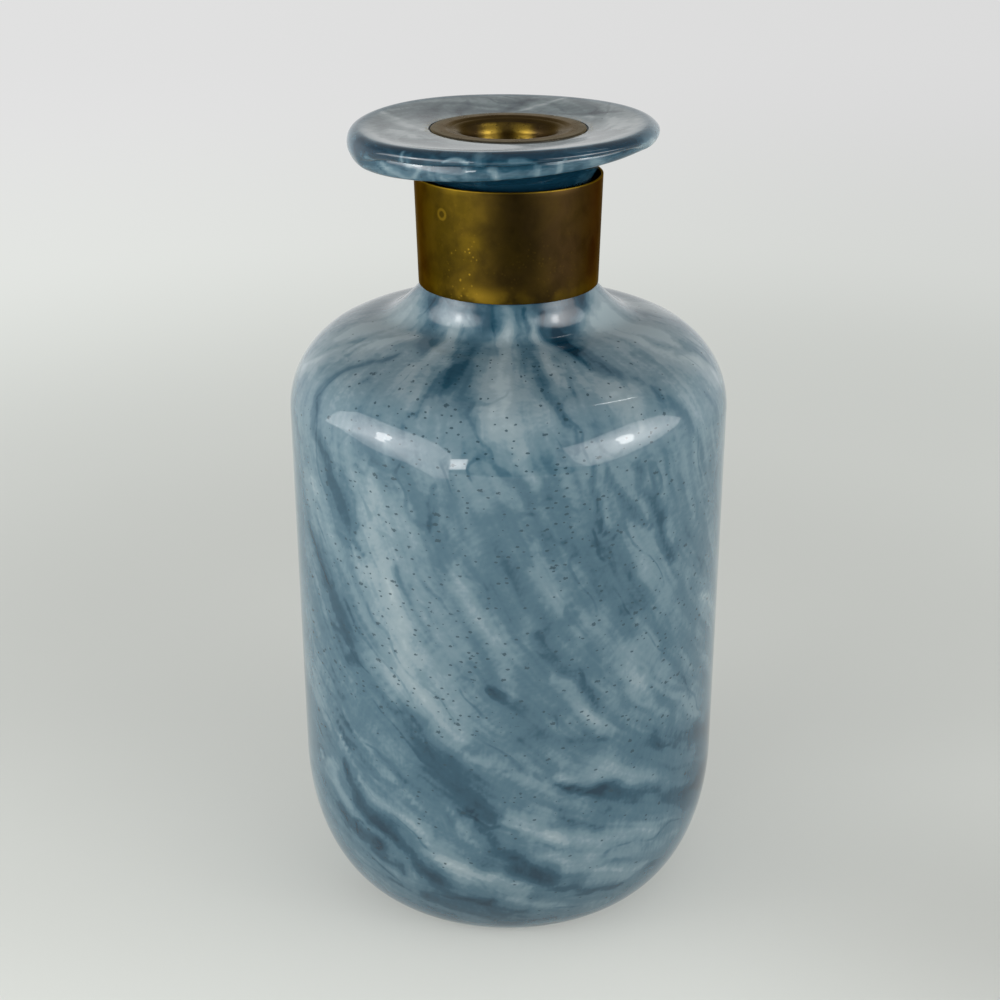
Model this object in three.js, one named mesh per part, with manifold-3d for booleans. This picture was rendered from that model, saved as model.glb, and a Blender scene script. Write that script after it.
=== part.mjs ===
// A blown, marbled glass decanter with a brass neck collar and a brass ferrule in its mouth.
// Millimetres, +Z up, origin at the centre of the foot on the table. +X is the viewer's right, -Y the front.
import * as THREE from 'three';
import { mergeVertices } from 'three/addons/utils/BufferGeometryUtils.js';
import Module from 'manifold-3d';

const wasm = await Module();
wasm.setup();

// Overall sizes of the glass
const overallHeight = 281; // table to the crest of the lip, mean all round
const bodyRadius = 76;

// Base and heel of the glass
const footRadius = 50; // outer edge of the flat ring that the decanter stands on
const footRingWidth = 14;
const puntHeight = 3; // hollow under the base, inside the foot ring
const heelHeight = 51; // rounded corner from the foot up to the straight wall
const bodyWall = 5;
const baseThickness = 12;
const floorRadius = 44; // flat part of the inside floor
const floorRise = 1.5; // the floor's middle follows the punt up a little

// Shoulder, flare and neck of the glass
const shoulderHeight = 30.5;
const shoulderTopRadius = 44.5;
const flareHeight = 20.5; // concave sweep from the shoulder up to the neck
const flareCurve = 1.8; // how hollow that sweep is, 1 being a plain cone
const shoulderFlat = 1.5; // level ring between the shoulder and the flare
const flarePress = 8.5; // the flare is pressed in this far at the front, so the neck runs down steeper there
const flarePressDrop = 1.5; // the deepest place lies this far below the top of the shoulder
const flarePressReachUp = 9.5; // it fades out over about this height upwards
const flarePressReachDown = 6; // and over this height downwards
const neckRadius = 26.8;
const neckLength = 23;
const neckWall = 4;

// Folded lip of the glass: an upper roll standing out over a lower roll, drawn down to one side
const lipThickness = 8.3; // crest to underside, mean all round
const lipFlareHeight = 14.7; // concave underside from the neck out to the lower roll
const lipUnderRadius = 45; // where that underside meets the lower roll
const lowerRollRadius = 2.6;
const lowerRollOut = 1.2; // the lower roll's centre lies this far outside lipUnderRadius
const lowerRollEnd = 18; // degrees above level where the roll runs into the crease
const upperRollHalfHeight = 2.3;
const upperRollReachOut = 4.3; // from the crest out to the edge of the lip
const upperRollOut = 2.1; // the crest lies this far outside lipUnderRadius
const upperRollStart = -70; // degrees, at the crease
const lipFall = 2.1; // the lip's top falls this far from its crest to the ground recess in the mouth
const mouthDepth = 3.5; // the ferrule's seat in that recess lies this far below the crest
const seatWidth = 3.6; // flat ring round the bore that carries the ferrule
const boreChamfer = 0.6;
const lipShift = -1.8; // the lip's outline is off centre along X
const lipLiftAzimuth = 16; // degrees from +X towards +Y, the side where the lip is drawn highest
const crestLift = 1; // rise of the crest on that side, and fall on the far side
const undersideLift = 3.6; // the same for the underside, so the edge is thicker on the low side

// Brass collar: a tapered strip bent round the neck, its ends butted at the back
const collarStandOff = 3.8; // outside of its lower edge from the neck's own radius
const collarTaper = 1; // it widens by this much radius towards the top
const collarHeight = 37;
const collarSheet = 0.8;
const collarSeamGap = 0.5;

// Brass ferrule: dished flange with a rolled rim, drawn down into a throat with a swaged lower end
const ferruleOverlap = 3.1; // how far its rim reaches over the glass round the bore
const ferruleRimThickness = 1.4;
const ferruleSheet = 0.9;
const rimBandWidth = 4.9; // level band inside the rim
const dishDepth = 0.5; // fall of the dish from the band to the throat's rounded edge
const throatRadius = 13.2;
const throatFlare = 1; // it is wider by this much radius just under its rounded edge
const throatFlareDepth = 4.4;
const throatEdgeRadius = 1.8;
const swageWidth = 2.3; // the throat's lower end is turned out this far to hold the bung

// Cork bung that centres the ferrule in the neck
const bungHeight = 20;

// Fits
const seatGap = 0.3; // between pieces that rest on each other
const slideClearance = 0.3; // between the bung and the bore, and the bung and the throat

// Levels worked out from the top down
const mouthSeatLevel = overallHeight - mouthDepth;
const lipUndersideLevel = overallHeight - lipThickness;
const neckTopLevel = lipUndersideLevel - lipFlareHeight;
const neckBottomLevel = neckTopLevel - neckLength;
const shoulderTopLevel = neckBottomLevel - flareHeight;
const shoulderBaseLevel = shoulderTopLevel - shoulderHeight;
const boreRadius = neckRadius - neckWall;
const seatOuterRadius = boreRadius + seatWidth;
const flareRootRadius = shoulderTopRadius - shoulderFlat;

// Smoothness of the turned pieces
const turnSegments = 48;
const longArcSteps = 8;
const shortArcSteps = 4;

/** Points along an ellipse arc in the profile plane, x being the radius and y the height. */
function arc(centreRadius, centreLevel, radialReach, verticalReach, startDegrees, endDegrees, steps) {
  const points = [];
  for (let step = 0; step <= steps; step += 1) {
    const angle = THREE.MathUtils.degToRad(startDegrees + ((endDegrees - startDegrees) * step) / steps);
    const radius = centreRadius + radialReach * Math.cos(angle);
    points.push(new THREE.Vector2(radius, centreLevel + verticalReach * Math.sin(angle)));
  }
  return points;
}

/** Points up the hollow sweep from a shoulder to a neck, or down it for the inside of the glass. */
function flare(lowRadius, lowLevel, highRadius, highLevel, steps) {
  const points = [];
  for (let step = 0; step <= steps; step += 1) {
    const share = step / steps;
    const radius = highRadius + (lowRadius - highRadius) * (1 - share) ** flareCurve;
    points.push(new THREE.Vector2(radius, lowLevel + (highLevel - lowLevel) * share));
  }
  return points;
}

/** Height on the outside of the flare where the glass has the given radius. */
function flareLevel(radius) {
  const share = 1 - ((radius - neckRadius) / (flareRootRadius - neckRadius)) ** (1 / flareCurve);
  return shoulderTopLevel + flareHeight * share;
}

/** Turns a profile about +Z. */
function turned(profile) {
  const geometry = new THREE.LatheGeometry(profile, turnSegments);
  geometry.rotateX(Math.PI / 2);
  return geometry;
}

/** Turns a closed loop of points about +Z: the loop's first point is repeated at its end. */
function turnedRing(loop) {
  return turned([...loop, loop[0].clone()]);
}

/** The whole outline of the glass, from the underside of the base round to the inside floor. */
function glassProfile() {
  const footInnerRadius = footRadius - footRingWidth;
  const innerWallRadius = bodyRadius - bodyWall;
  const innerShoulderRadius = shoulderTopRadius - bodyWall;
  const lowerRollRadial = lipUnderRadius + lowerRollOut;
  const lowerRollLevel = lipUndersideLevel + lowerRollRadius;
  const upperRollRadial = lipUnderRadius + upperRollOut;
  const upperRollLevel = overallHeight - upperRollHalfHeight;
  const crest = new THREE.Vector2(upperRollRadial, overallHeight);
  const recessEdge = new THREE.Vector2(seatOuterRadius, overallHeight - lipFall);
  const dishPull = new THREE.Vector2((crest.x + recessEdge.x) / 2, overallHeight - lipFall / 2);
  const lipTop = new THREE.QuadraticBezierCurve(crest, dishPull, recessEdge);
  const innerFlare = flare(innerShoulderRadius, shoulderTopLevel - bodyWall, boreRadius, neckBottomLevel, 6);
  const upperRollArc = [upperRollReachOut, upperRollHalfHeight, upperRollStart, 90, longArcSteps];

  return [
    ...arc(0, 0, footInnerRadius, puntHeight, 90, 0, shortArcSteps),
    ...arc(footRadius, heelHeight, bodyRadius - footRadius, heelHeight, -90, 0, longArcSteps),
    ...arc(shoulderTopRadius, shoulderBaseLevel, bodyRadius - shoulderTopRadius, shoulderHeight, 0, 90,
      longArcSteps),
    ...flare(flareRootRadius, shoulderTopLevel, neckRadius, neckBottomLevel, longArcSteps),
    ...arc(lipUnderRadius, neckTopLevel, lipUnderRadius - neckRadius, lipFlareHeight, 180, 90, longArcSteps),
    ...arc(lowerRollRadial, lowerRollLevel, lowerRollRadius, lowerRollRadius, -90, lowerRollEnd, shortArcSteps),
    ...arc(upperRollRadial, upperRollLevel, ...upperRollArc),
    ...lipTop.getPoints(shortArcSteps).slice(1),
    new THREE.Vector2(seatOuterRadius, mouthSeatLevel),
    new THREE.Vector2(boreRadius + boreChamfer, mouthSeatLevel),
    new THREE.Vector2(boreRadius, mouthSeatLevel - boreChamfer),
    ...innerFlare.reverse(),
    ...arc(innerShoulderRadius, shoulderBaseLevel, innerWallRadius - innerShoulderRadius,
      shoulderHeight - bodyWall, 90, 0, longArcSteps).slice(1),
    ...arc(floorRadius, heelHeight, innerWallRadius - floorRadius, heelHeight - baseThickness, 0, -90,
      longArcSteps),
    new THREE.Vector2(0, baseThickness + floorRise),
  ];
}

/** Draws the lip off centre and down to one side, leaving the ferrule's seat level. */
function drawLip(geometry) {
  const position = geometry.getAttribute('position');
  const azimuth = THREE.MathUtils.degToRad(lipLiftAzimuth);
  for (let index = 0; index < position.count; index += 1) {
    const x = position.getX(index);
    const y = position.getY(index);
    const z = position.getZ(index);
    const hold = THREE.MathUtils.smoothstep(Math.hypot(x, y), seatOuterRadius, lipUnderRadius);
    const pull = z > neckTopLevel ? hold : 0;
    const rise = THREE.MathUtils.smoothstep(z, lipUndersideLevel, overallHeight);
    const lift = THREE.MathUtils.lerp(undersideLift, crestLift, rise);
    const side = Math.cos(Math.atan2(y, x) - azimuth);
    position.setX(index, x + pull * lipShift);
    position.setZ(index, z + pull * lift * side);
  }
  return geometry;
}

/** Presses the flare in at the front of the decanter. */
function pressFlare(geometry) {
  const position = geometry.getAttribute('position');
  const deepest = shoulderTopLevel - flarePressDrop;
  for (let index = 0; index < position.count; index += 1) {
    const x = position.getX(index);
    const y = position.getY(index);
    const radius = Math.hypot(x, y);
    const facing = radius > 0 ? -y / radius : 0;
    const rise = position.getZ(index) - deepest;
    const reach = rise > 0 ? flarePressReachUp : flarePressReachDown;
    const fade = Math.exp(-((rise / reach) ** 2));
    const depth = flarePress * fade * THREE.MathUtils.smoothstep(facing, 0, 0.75);
    const share = radius > depth ? 1 - depth / radius : 1;
    position.setX(index, x * share);
    position.setY(index, y * share);
  }
  return geometry;
}

/** Merges a geometry's shared corners and hands it over as a solid for cutting. */
function solid(geometry) {
  const bare = geometry.clone();
  bare.deleteAttribute('normal');
  bare.deleteAttribute('uv');
  const merged = mergeVertices(bare);
  return new wasm.Manifold(new wasm.Mesh({
    numProp: 3,
    vertProperties: new Float32Array(merged.getAttribute('position').array),
    triVerts: new Uint32Array(merged.getIndex().array),
  }));
}

/** Turns a cut solid back into a three.js geometry. */
function geometryOf(body) {
  const mesh = body.getMesh();
  const geometry = new THREE.BufferGeometry();
  geometry.setAttribute('position', new THREE.BufferAttribute(new Float32Array(mesh.vertProperties), 3));
  geometry.setIndex(new THREE.BufferAttribute(new Uint32Array(mesh.triVerts), 1));
  geometry.computeVertexNormals();
  return geometry;
}

/** The glass: body, neck and folded lip in one blown piece. */
function makeGlassVessel() {
  return drawLip(pressFlare(turned(glassProfile())));
}

/** The collar: its lower edge rests on the flare, and the butt seam at the back lets it close round the neck. */
function makeNeckCollar() {
  const lowerRadius = neckRadius + collarStandOff;
  const upperRadius = lowerRadius + collarTaper;
  const lowerLevel = flareLevel(lowerRadius - collarSheet - seatGap);
  const upperLevel = lowerLevel + collarHeight;
  const ring = turnedRing([
    new THREE.Vector2(lowerRadius - collarSheet, lowerLevel),
    new THREE.Vector2(lowerRadius, lowerLevel),
    new THREE.Vector2(upperRadius, upperLevel),
    new THREE.Vector2(upperRadius - collarSheet, upperLevel),
  ]);
  const seam = new THREE.BoxGeometry(collarSeamGap, upperRadius, 2 * collarHeight);
  seam.translate(0, lowerRadius, (lowerLevel + upperLevel) / 2);
  return geometryOf(solid(ring).subtract(solid(seam)));
}

// Where the ferrule and its bung lie, from the seat in the mouth
const ferruleRimTop = mouthSeatLevel + seatGap + ferruleRimThickness;
const throatEdgeLevel = ferruleRimTop - dishDepth - throatEdgeRadius;
const throatOuterRadius = throatRadius + ferruleSheet;
const throatFlareEnd = throatEdgeLevel - throatFlareDepth;
const bungTopLevel = throatEdgeLevel - seatGap;
const bungBottomLevel = bungTopLevel - bungHeight;

/** The ferrule: rim, dish, throat and swaged end, one drawn sheet. */
function makeMouthFerrule() {
  const rimRadius = boreRadius + ferruleOverlap;
  const beadRadius = ferruleRimThickness / 2;
  const beadRadial = rimRadius - beadRadius;
  const bandInnerRadius = rimRadius - rimBandWidth;
  const edgeRadial = throatRadius + throatFlare + throatEdgeRadius;
  const swageTop = bungBottomLevel - seatGap;
  const underEdgeRadius = throatEdgeRadius - ferruleSheet;
  const dishPullRadius = (bandInnerRadius + edgeRadial) / 2;
  const dishTop = new THREE.QuadraticBezierCurve(
    new THREE.Vector2(bandInnerRadius, ferruleRimTop),
    new THREE.Vector2(dishPullRadius, ferruleRimTop - dishDepth / 3),
    new THREE.Vector2(edgeRadial, ferruleRimTop - dishDepth),
  ).getPoints(shortArcSteps);
  const dishUnder = dishTop.map((point) => new THREE.Vector2(point.x, point.y - ferruleSheet)).reverse();
  return turnedRing([
    ...arc(beadRadial, ferruleRimTop - beadRadius, beadRadius, beadRadius, -90, 90, longArcSteps),
    ...dishTop,
    ...arc(edgeRadial, throatEdgeLevel, throatEdgeRadius, throatEdgeRadius, 90, 180, shortArcSteps).slice(1),
    new THREE.Vector2(throatRadius, throatFlareEnd),
    new THREE.Vector2(throatRadius, swageTop - ferruleSheet),
    new THREE.Vector2(throatOuterRadius + swageWidth, swageTop - ferruleSheet),
    new THREE.Vector2(throatOuterRadius + swageWidth, swageTop),
    new THREE.Vector2(throatOuterRadius, swageTop),
    new THREE.Vector2(throatOuterRadius, throatFlareEnd),
    ...arc(edgeRadial, throatEdgeLevel, underEdgeRadius, underEdgeRadius, 180, 90, shortArcSteps),
    ...dishUnder.slice(1),
    new THREE.Vector2(beadRadial - beadRadius, ferruleRimTop - ferruleSheet),
  ]);
}

/** The bung: a cork sleeve between the throat and the bore, carried out with the ferrule. */
function makeNeckBung() {
  const outerRadius = boreRadius - slideClearance;
  const innerRadius = throatOuterRadius + slideClearance;
  const topWidening = (throatFlare * (bungTopLevel - throatFlareEnd)) / throatFlareDepth;
  return turnedRing([
    new THREE.Vector2(innerRadius, bungBottomLevel),
    new THREE.Vector2(outerRadius, bungBottomLevel),
    new THREE.Vector2(outerRadius, bungTopLevel),
    new THREE.Vector2(innerRadius + topWidening, bungTopLevel),
    new THREE.Vector2(innerRadius, throatFlareEnd),
  ]);
}

/** A named piece with a finish of its own. */
function piece(name, geometry, color, roughness, metalness) {
  const mesh = new THREE.Mesh(geometry, new THREE.MeshStandardMaterial({ color, roughness, metalness }));
  mesh.name = name;
  return mesh;
}

const decanter = new THREE.Group();
decanter.add(
  piece('glass_vessel', makeGlassVessel(), 0x6f8796, 0.08, 0),
  piece('neck_collar', makeNeckCollar(), 0x5e4a1c, 0.4, 1),
  piece('mouth_ferrule', makeMouthFerrule(), 0x8a6a2c, 0.35, 1),
  piece('neck_bung', makeNeckBung(), 0x9c7448, 0.9, 0),
);

export default decanter;
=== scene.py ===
"""Looks of a blown marbled glass decanter with a brass neck collar and a brass mouth ferrule.

Lengths in the classes of the pieces and their finishes are in millimetres. The meshes, the studio and the
camera are in metres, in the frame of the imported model: +Z up the decanter's axis, +X to the viewer's right
and -Y towards the viewer.
"""
import logging
import math
from dataclasses import dataclass, field
from enum import Enum

import bmesh
import bpy
import numpy as np
from mathutils import Matrix, Vector, noise


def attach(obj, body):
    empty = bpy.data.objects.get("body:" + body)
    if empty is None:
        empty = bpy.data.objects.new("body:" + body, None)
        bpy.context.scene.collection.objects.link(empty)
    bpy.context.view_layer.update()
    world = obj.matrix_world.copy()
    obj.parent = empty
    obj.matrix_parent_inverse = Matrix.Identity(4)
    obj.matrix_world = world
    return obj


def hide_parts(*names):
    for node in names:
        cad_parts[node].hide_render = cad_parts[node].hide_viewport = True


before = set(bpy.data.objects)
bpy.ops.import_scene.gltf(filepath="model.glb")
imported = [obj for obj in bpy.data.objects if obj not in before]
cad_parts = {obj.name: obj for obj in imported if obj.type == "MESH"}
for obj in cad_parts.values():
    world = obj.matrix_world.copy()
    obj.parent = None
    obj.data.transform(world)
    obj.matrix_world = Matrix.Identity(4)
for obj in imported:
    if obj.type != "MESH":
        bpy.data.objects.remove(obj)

MM = 0.001
FULL_TURN = 2 * math.pi
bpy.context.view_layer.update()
LOG = logging.getLogger("decanter")

Point = tuple[float, float]
Colour = tuple[float, float, float]
Stops = tuple[tuple[float, Colour], ...]
Socket = bpy.types.NodeSocket
Piece = bpy.types.Object

LAMP_TINT: Colour = (1.0, 0.985, 0.97)


def arc(centre: Point, reach: Point, start: float, end: float, steps: int) -> list[Point]:
    """Lays points along an ellipse in the profile plane.

    Args:
        centre: Radius and level of the ellipse's middle.
        reach: How far it goes along the radius and along the level.
        start: First angle in degrees, 0 pointing outwards and 90 up.
        end: Last angle in degrees.
        steps: Number of stretches between the points.

    Returns:
        The points as (radius, level).
    """
    angles = np.radians(np.linspace(start, end, steps + 1))
    return [(centre[0] + reach[0] * math.cos(a), centre[1] + reach[1] * math.sin(a)) for a in angles]


def straight(start: Point, end: Point, steps: int) -> list[Point]:
    """Lays evenly spaced points after the start, up to and with the end.

    Args:
        start: The point that the line leaves from, which isn't repeated.
        end: The last point.
        steps: Number of stretches.

    Returns:
        The points as (radius, level).
    """
    shares = np.linspace(0, 1, steps + 1)[1:]
    return [(start[0] + (end[0] - start[0]) * s, start[1] + (end[1] - start[1]) * s) for s in shares]


def bowed(start: Point, pull: Point, end: Point, steps: int) -> list[Point]:
    """Lays points along a bowed line, both ends among them.

    Args:
        start: The first point.
        pull: The point that the line is drawn towards.
        end: The last point.
        steps: Number of stretches.

    Returns:
        The points as (radius, level).
    """
    first, middle, last = (np.array(point) for point in (start, pull, end))
    shares = np.linspace(0, 1, steps + 1)
    return [tuple(first * (1 - s) ** 2 + middle * 2 * s * (1 - s) + last * s * s) for s in shares]


def eased(profile: list[Point], first: int, last: int, rounds: int) -> list[Point]:
    """Rounds off the corners in one stretch of a profile, as hot glass does.

    Args:
        profile: Points as (radius, level).
        first: Index of the first point that may move.
        last: Index after the last point that may move.
        rounds: How often each point is drawn towards its neighbours.

    Returns:
        A new list of points.
    """
    points = np.array(profile)
    for _ in range(rounds):
        middle = (points[first - 1:last - 1] + 2 * points[first:last] + points[first + 1:last + 1]) / 4
        points[first:last] = middle
    return [tuple(point) for point in points]


def smooth(values: np.ndarray, low: float, high: float) -> np.ndarray:
    """Eases values from 0 at the low end to 1 at the high end."""
    share = np.clip((values - low) / (high - low), 0, 1)
    return share * share * (3 - 2 * share)


def turned(profile: list[Point], steps: int, sweep: float = FULL_TURN,
           closed: bool = False) -> bmesh.types.BMesh:
    """Spins a profile about +Z, starting from the back of the decanter.

    Args:
        profile: Points as (radius, level), in millimetres.
        steps: Number of faces round the turn.
        sweep: Angle of the turn; less than a full turn leaves a gap centred on the back.
        closed: Whether the last point joins the first.

    Returns:
        The turned mesh, with the distance along the profile in a float layer named along.
    """
    mesh = bmesh.new()
    along = mesh.verts.layers.float.new("along")
    start = math.pi / 2 + (FULL_TURN - sweep) / 2
    travel = 0.0
    chain = []
    for index, (radius, level) in enumerate(profile):
        if index:
            travel += math.dist(profile[index - 1], profile[index])
        vert = mesh.verts.new((radius * MM * math.cos(start), radius * MM * math.sin(start), level * MM))
        vert[along] = travel
        chain.append(vert)
    pairs = list(zip(chain, chain[1:]))
    if closed:
        pairs.append((chain[-1], chain[0]))
    edges = [mesh.edges.new(pair) for pair in pairs]
    whole = sweep == FULL_TURN
    bmesh.ops.spin(mesh, geom=chain + edges, cent=(0, 0, 0), axis=(0, 0, 1), angle=sweep, steps=steps,
                   use_merge=whole)
    bmesh.ops.remove_doubles(mesh, verts=mesh.verts, dist=1e-7)
    if not whole:
        rim = [edge for edge in mesh.edges if edge.is_boundary]
        bmesh.ops.holes_fill(mesh, edges=rim, sides=0)
    bmesh.ops.recalc_face_normals(mesh, faces=mesh.faces)
    return mesh


def settle(mesh: bmesh.types.BMesh, name: str, sharp: float = 40.0) -> Piece:
    """Turns a finished bmesh into an object at the origin, shaded smooth.

    Args:
        mesh: The bmesh, which is freed.
        name: The piece's name.
        sharp: Edges that turn more than this many degrees stay crisp.

    Returns:
        The new object, linked to the scene.
    """
    data = bpy.data.meshes.new(name)
    mesh.to_mesh(data)
    mesh.free()
    data.shade_smooth()
    data.set_sharp_from_angle(angle=math.radians(sharp))
    piece = bpy.data.objects.new(name, data)
    bpy.context.scene.collection.objects.link(piece)
    return piece


def hand_over(piece: Piece, node: str, body: str) -> None:
    """Puts a finished piece in the place of its CAD node and reports it.

    Args:
        piece: The visible piece.
        node: The CAD node that it stands for.
        body: The body that it moves with.
    """
    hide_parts(node)
    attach(piece, body)
    LOG.info("%s: %d faces, rides on %s", piece.name, len(piece.data.polygons), body)


class NodeBench:
    """Adds the nodes of one material and joins them."""

    def __init__(self, name: str) -> None:
        """Starts an empty material.

        Args:
            name: The material's name.
        """
        self.material = bpy.data.materials.new(name)
        self.material.use_nodes = True
        self.tree = self.material.node_tree
        self.tree.nodes.clear()

    def add(self, kind: str, inputs: dict | None = None, **settings: object) -> bpy.types.Node:
        """Adds a node.

        Args:
            kind: The node's type name after ShaderNode.
            inputs: Values or output sockets for its inputs, by input name or number.
            settings: The node's own properties.

        Returns:
            The node.
        """
        node = self.tree.nodes.new("ShaderNode" + kind)
        for key, value in settings.items():
            setattr(node, key, value)
        for key, value in (inputs or {}).items():
            self.feed(node.inputs[key], value)
        return node

    def feed(self, socket: Socket, value: object) -> None:
        """Links an output to a socket, or sets the socket's own value.

        Args:
            socket: The input that is fed.
            value: An output socket, or a plain value.
        """
        if isinstance(value, Socket):
            self.tree.links.new(value, socket)
        else:
            socket.default_value = value

    def place(self) -> Socket:
        """Gives the piece's own coordinates, in metres."""
        return self.add("TexCoord").outputs["Object"]

    def attribute(self, name: str, output: str) -> Socket:
        """Reads a value stored on the mesh's points, as the named output."""
        return self.add("Attribute", attribute_name=name).outputs[output]

    def axis(self, name: str) -> Socket:
        """Gives the piece's own X, Y or Z, in metres."""
        return self.add("SeparateXYZ", {0: self.place()}).outputs[name]

    def calc(self, operation: str, *values: object, clamp: bool = False) -> Socket:
        """Works out a number.

        Args:
            operation: The Math node's operation.
            values: Its operands, numbers or sockets.
            clamp: Whether the result is kept from 0 to 1.

        Returns:
            The result's socket.
        """
        inputs = dict(enumerate(values))
        return self.add("Math", inputs, operation=operation, use_clamp=clamp).outputs[0]

    def times(self, first: object, second: object) -> Socket:
        """Multiplies two numbers."""
        return self.calc("MULTIPLY", first, second)

    def stretch(self, vector: Socket, scale: Colour, offset: Colour = (0, 0, 0)) -> Socket:
        """Scales and moves coordinates before a texture reads them."""
        inputs = {"Vector": vector, "Scale": scale, "Location": offset}
        return self.add("Mapping", inputs).outputs[0]

    def noise(self, vector: Socket, size: float, detail: float = 3.0, rough: float = 0.55,
              distortion: float = 0.0) -> Socket:
        """Adds soft noise.

        Args:
            vector: Coordinates in metres.
            size: Size of the patches in millimetres.
            detail: Number of finer layers.
            rough: Strength of the finer layers.
            distortion: How much the patches are swirled.

        Returns:
            The noise from 0 to 1, about 0.5.
        """
        inputs = {"Vector": vector, "Scale": 1 / (size * MM), "Detail": detail, "Roughness": rough,
                  "Distortion": distortion}
        return self.add("TexNoise", inputs).outputs[0]

    def cells(self, vector: Socket, size: float, flat: bool = False) -> bpy.types.Node:
        """Adds scattered points about the given number of millimetres apart, in space or on a flat sheet."""
        inputs = {"Vector": vector, "Scale": 1 / (size * MM)}
        return self.add("TexVoronoi", inputs, voronoi_dimensions="2D" if flat else "3D")

    def between(self, value: object, low: float, high: float, to_low: float = 0.0,
                to_high: float = 1.0) -> Socket:
        """Maps a range smoothly onto another.

        Args:
            value: The number's socket.
            low: Where the change starts.
            high: Where it ends.
            to_low: Result at and before the start.
            to_high: Result at and after the end.

        Returns:
            The result's socket.
        """
        inputs = {"Value": value, "From Min": low, "From Max": high, "To Min": to_low, "To Max": to_high}
        return self.add("MapRange", inputs, interpolation_type="SMOOTHSTEP").outputs[0]

    def span(self, value: Socket, ends: Point, to_low: float = 0.0, to_high: float = 1.0) -> Socket:
        """Maps a length in metres smoothly, between two ends given in millimetres."""
        return self.between(value, ends[0] * MM, ends[1] * MM, to_low, to_high)

    def blend(self, share: object, first: object, second: object) -> Socket:
        """Mixes two colours.

        Args:
            share: How much of the second colour shows.
            first: A colour or its socket.
            second: A colour or its socket.

        Returns:
            The mixed colour's socket.
        """
        node = self.add("Mix", data_type="RGBA")
        pairs = ((0, share), (6, first), (7, second))
        for number, value in pairs:
            is_colour = number > 0 and isinstance(value, tuple)
            self.feed(node.inputs[number], (*value, 1.0) if is_colour else value)
        return node.outputs[2]

    def ramp(self, value: Socket, stops: Stops) -> Socket:
        """Colours a number.

        Args:
            value: The number's socket.
            stops: Places from 0 to 1 with their colours.

        Returns:
            The colour's socket.
        """
        node = self.add("ValToRGB", {"Fac": value})
        elements = node.color_ramp.elements
        for index, (place, colour) in enumerate(stops):
            element = elements[index] if index < 2 else elements.new(place)
            element.position = place
            element.color = (*colour, 1.0)
        return node.outputs["Color"]

    def bump(self, height: Socket, depth: float) -> Socket:
        """Raises the surface by a height pattern, depth being in millimetres."""
        inputs = {"Height": height, "Distance": depth * MM, "Strength": 1.0}
        return self.add("Bump", inputs).outputs["Normal"]

    def surface(self, **inputs: object) -> bpy.types.Material:
        """Ends the material with a Principled shader.

        Args:
            inputs: Its inputs, with underscores for the spaces in their names.

        Returns:
            The finished material.
        """
        named = {key.replace("_", " "): value for key, value in inputs.items()}
        return self.close(self.add("BsdfPrincipled", named))

    def close(self, shader: bpy.types.Node) -> bpy.types.Material:
        """Ends the material with a shader of any kind."""
        self.add("OutputMaterial", {"Surface": shader.outputs[0]})
        return self.material


class Tone(Enum):
    """Which way a streak moves the colour of the glass."""

    PALE = 1.0
    DARK = -1.0


@dataclass(frozen=True)
class Streak:
    """A drawn-out streak of the marbling.

    Its path is a chain of (fall, azimuth) points: millimetres down the outside of the glass from the foot of
    the neck, and degrees round from the front, positive to the viewer's right.
    """

    tone: Tone
    strength: float
    width: float
    path: tuple[Point, ...]
    tip: float = 0.4

    def weigh(self, fall: np.ndarray, azimuth: np.ndarray, radius: np.ndarray) -> np.ndarray:
        """Works out how strongly the streak colours each point of the glass.

        Args:
            fall: The points' distance down the outside, in millimetres.
            azimuth: Their angle from the front, in degrees.
            radius: Their distance from the axis, in millimetres.

        Returns:
            A number for each point, negative for a dark streak.
        """
        nearest = np.full(fall.shape, np.inf)
        stretches = len(self.path) - 1
        for index, (start, end) in enumerate(zip(self.path, self.path[1:])):
            turn = (azimuth - start[1] + 180) % 360 - 180
            across = np.radians(turn) * radius
            down = fall - start[0]
            run = np.radians(end[1] - start[1]) * radius
            drop = end[0] - start[0]
            share = np.clip((across * run + down * drop) / (run * run + drop * drop + 1e-9), 0, 1)
            gap = np.hypot(across - share * run, down - share * drop)
            swell = self.tip + (1 - self.tip) * np.sin(math.pi * (index + share) / stretches)
            nearest = np.minimum(nearest, gap / (self.width * swell))
        return self.tone.value * self.strength * np.exp(-nearest ** 2)


PALE, DARK = Tone.PALE, Tone.DARK

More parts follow.
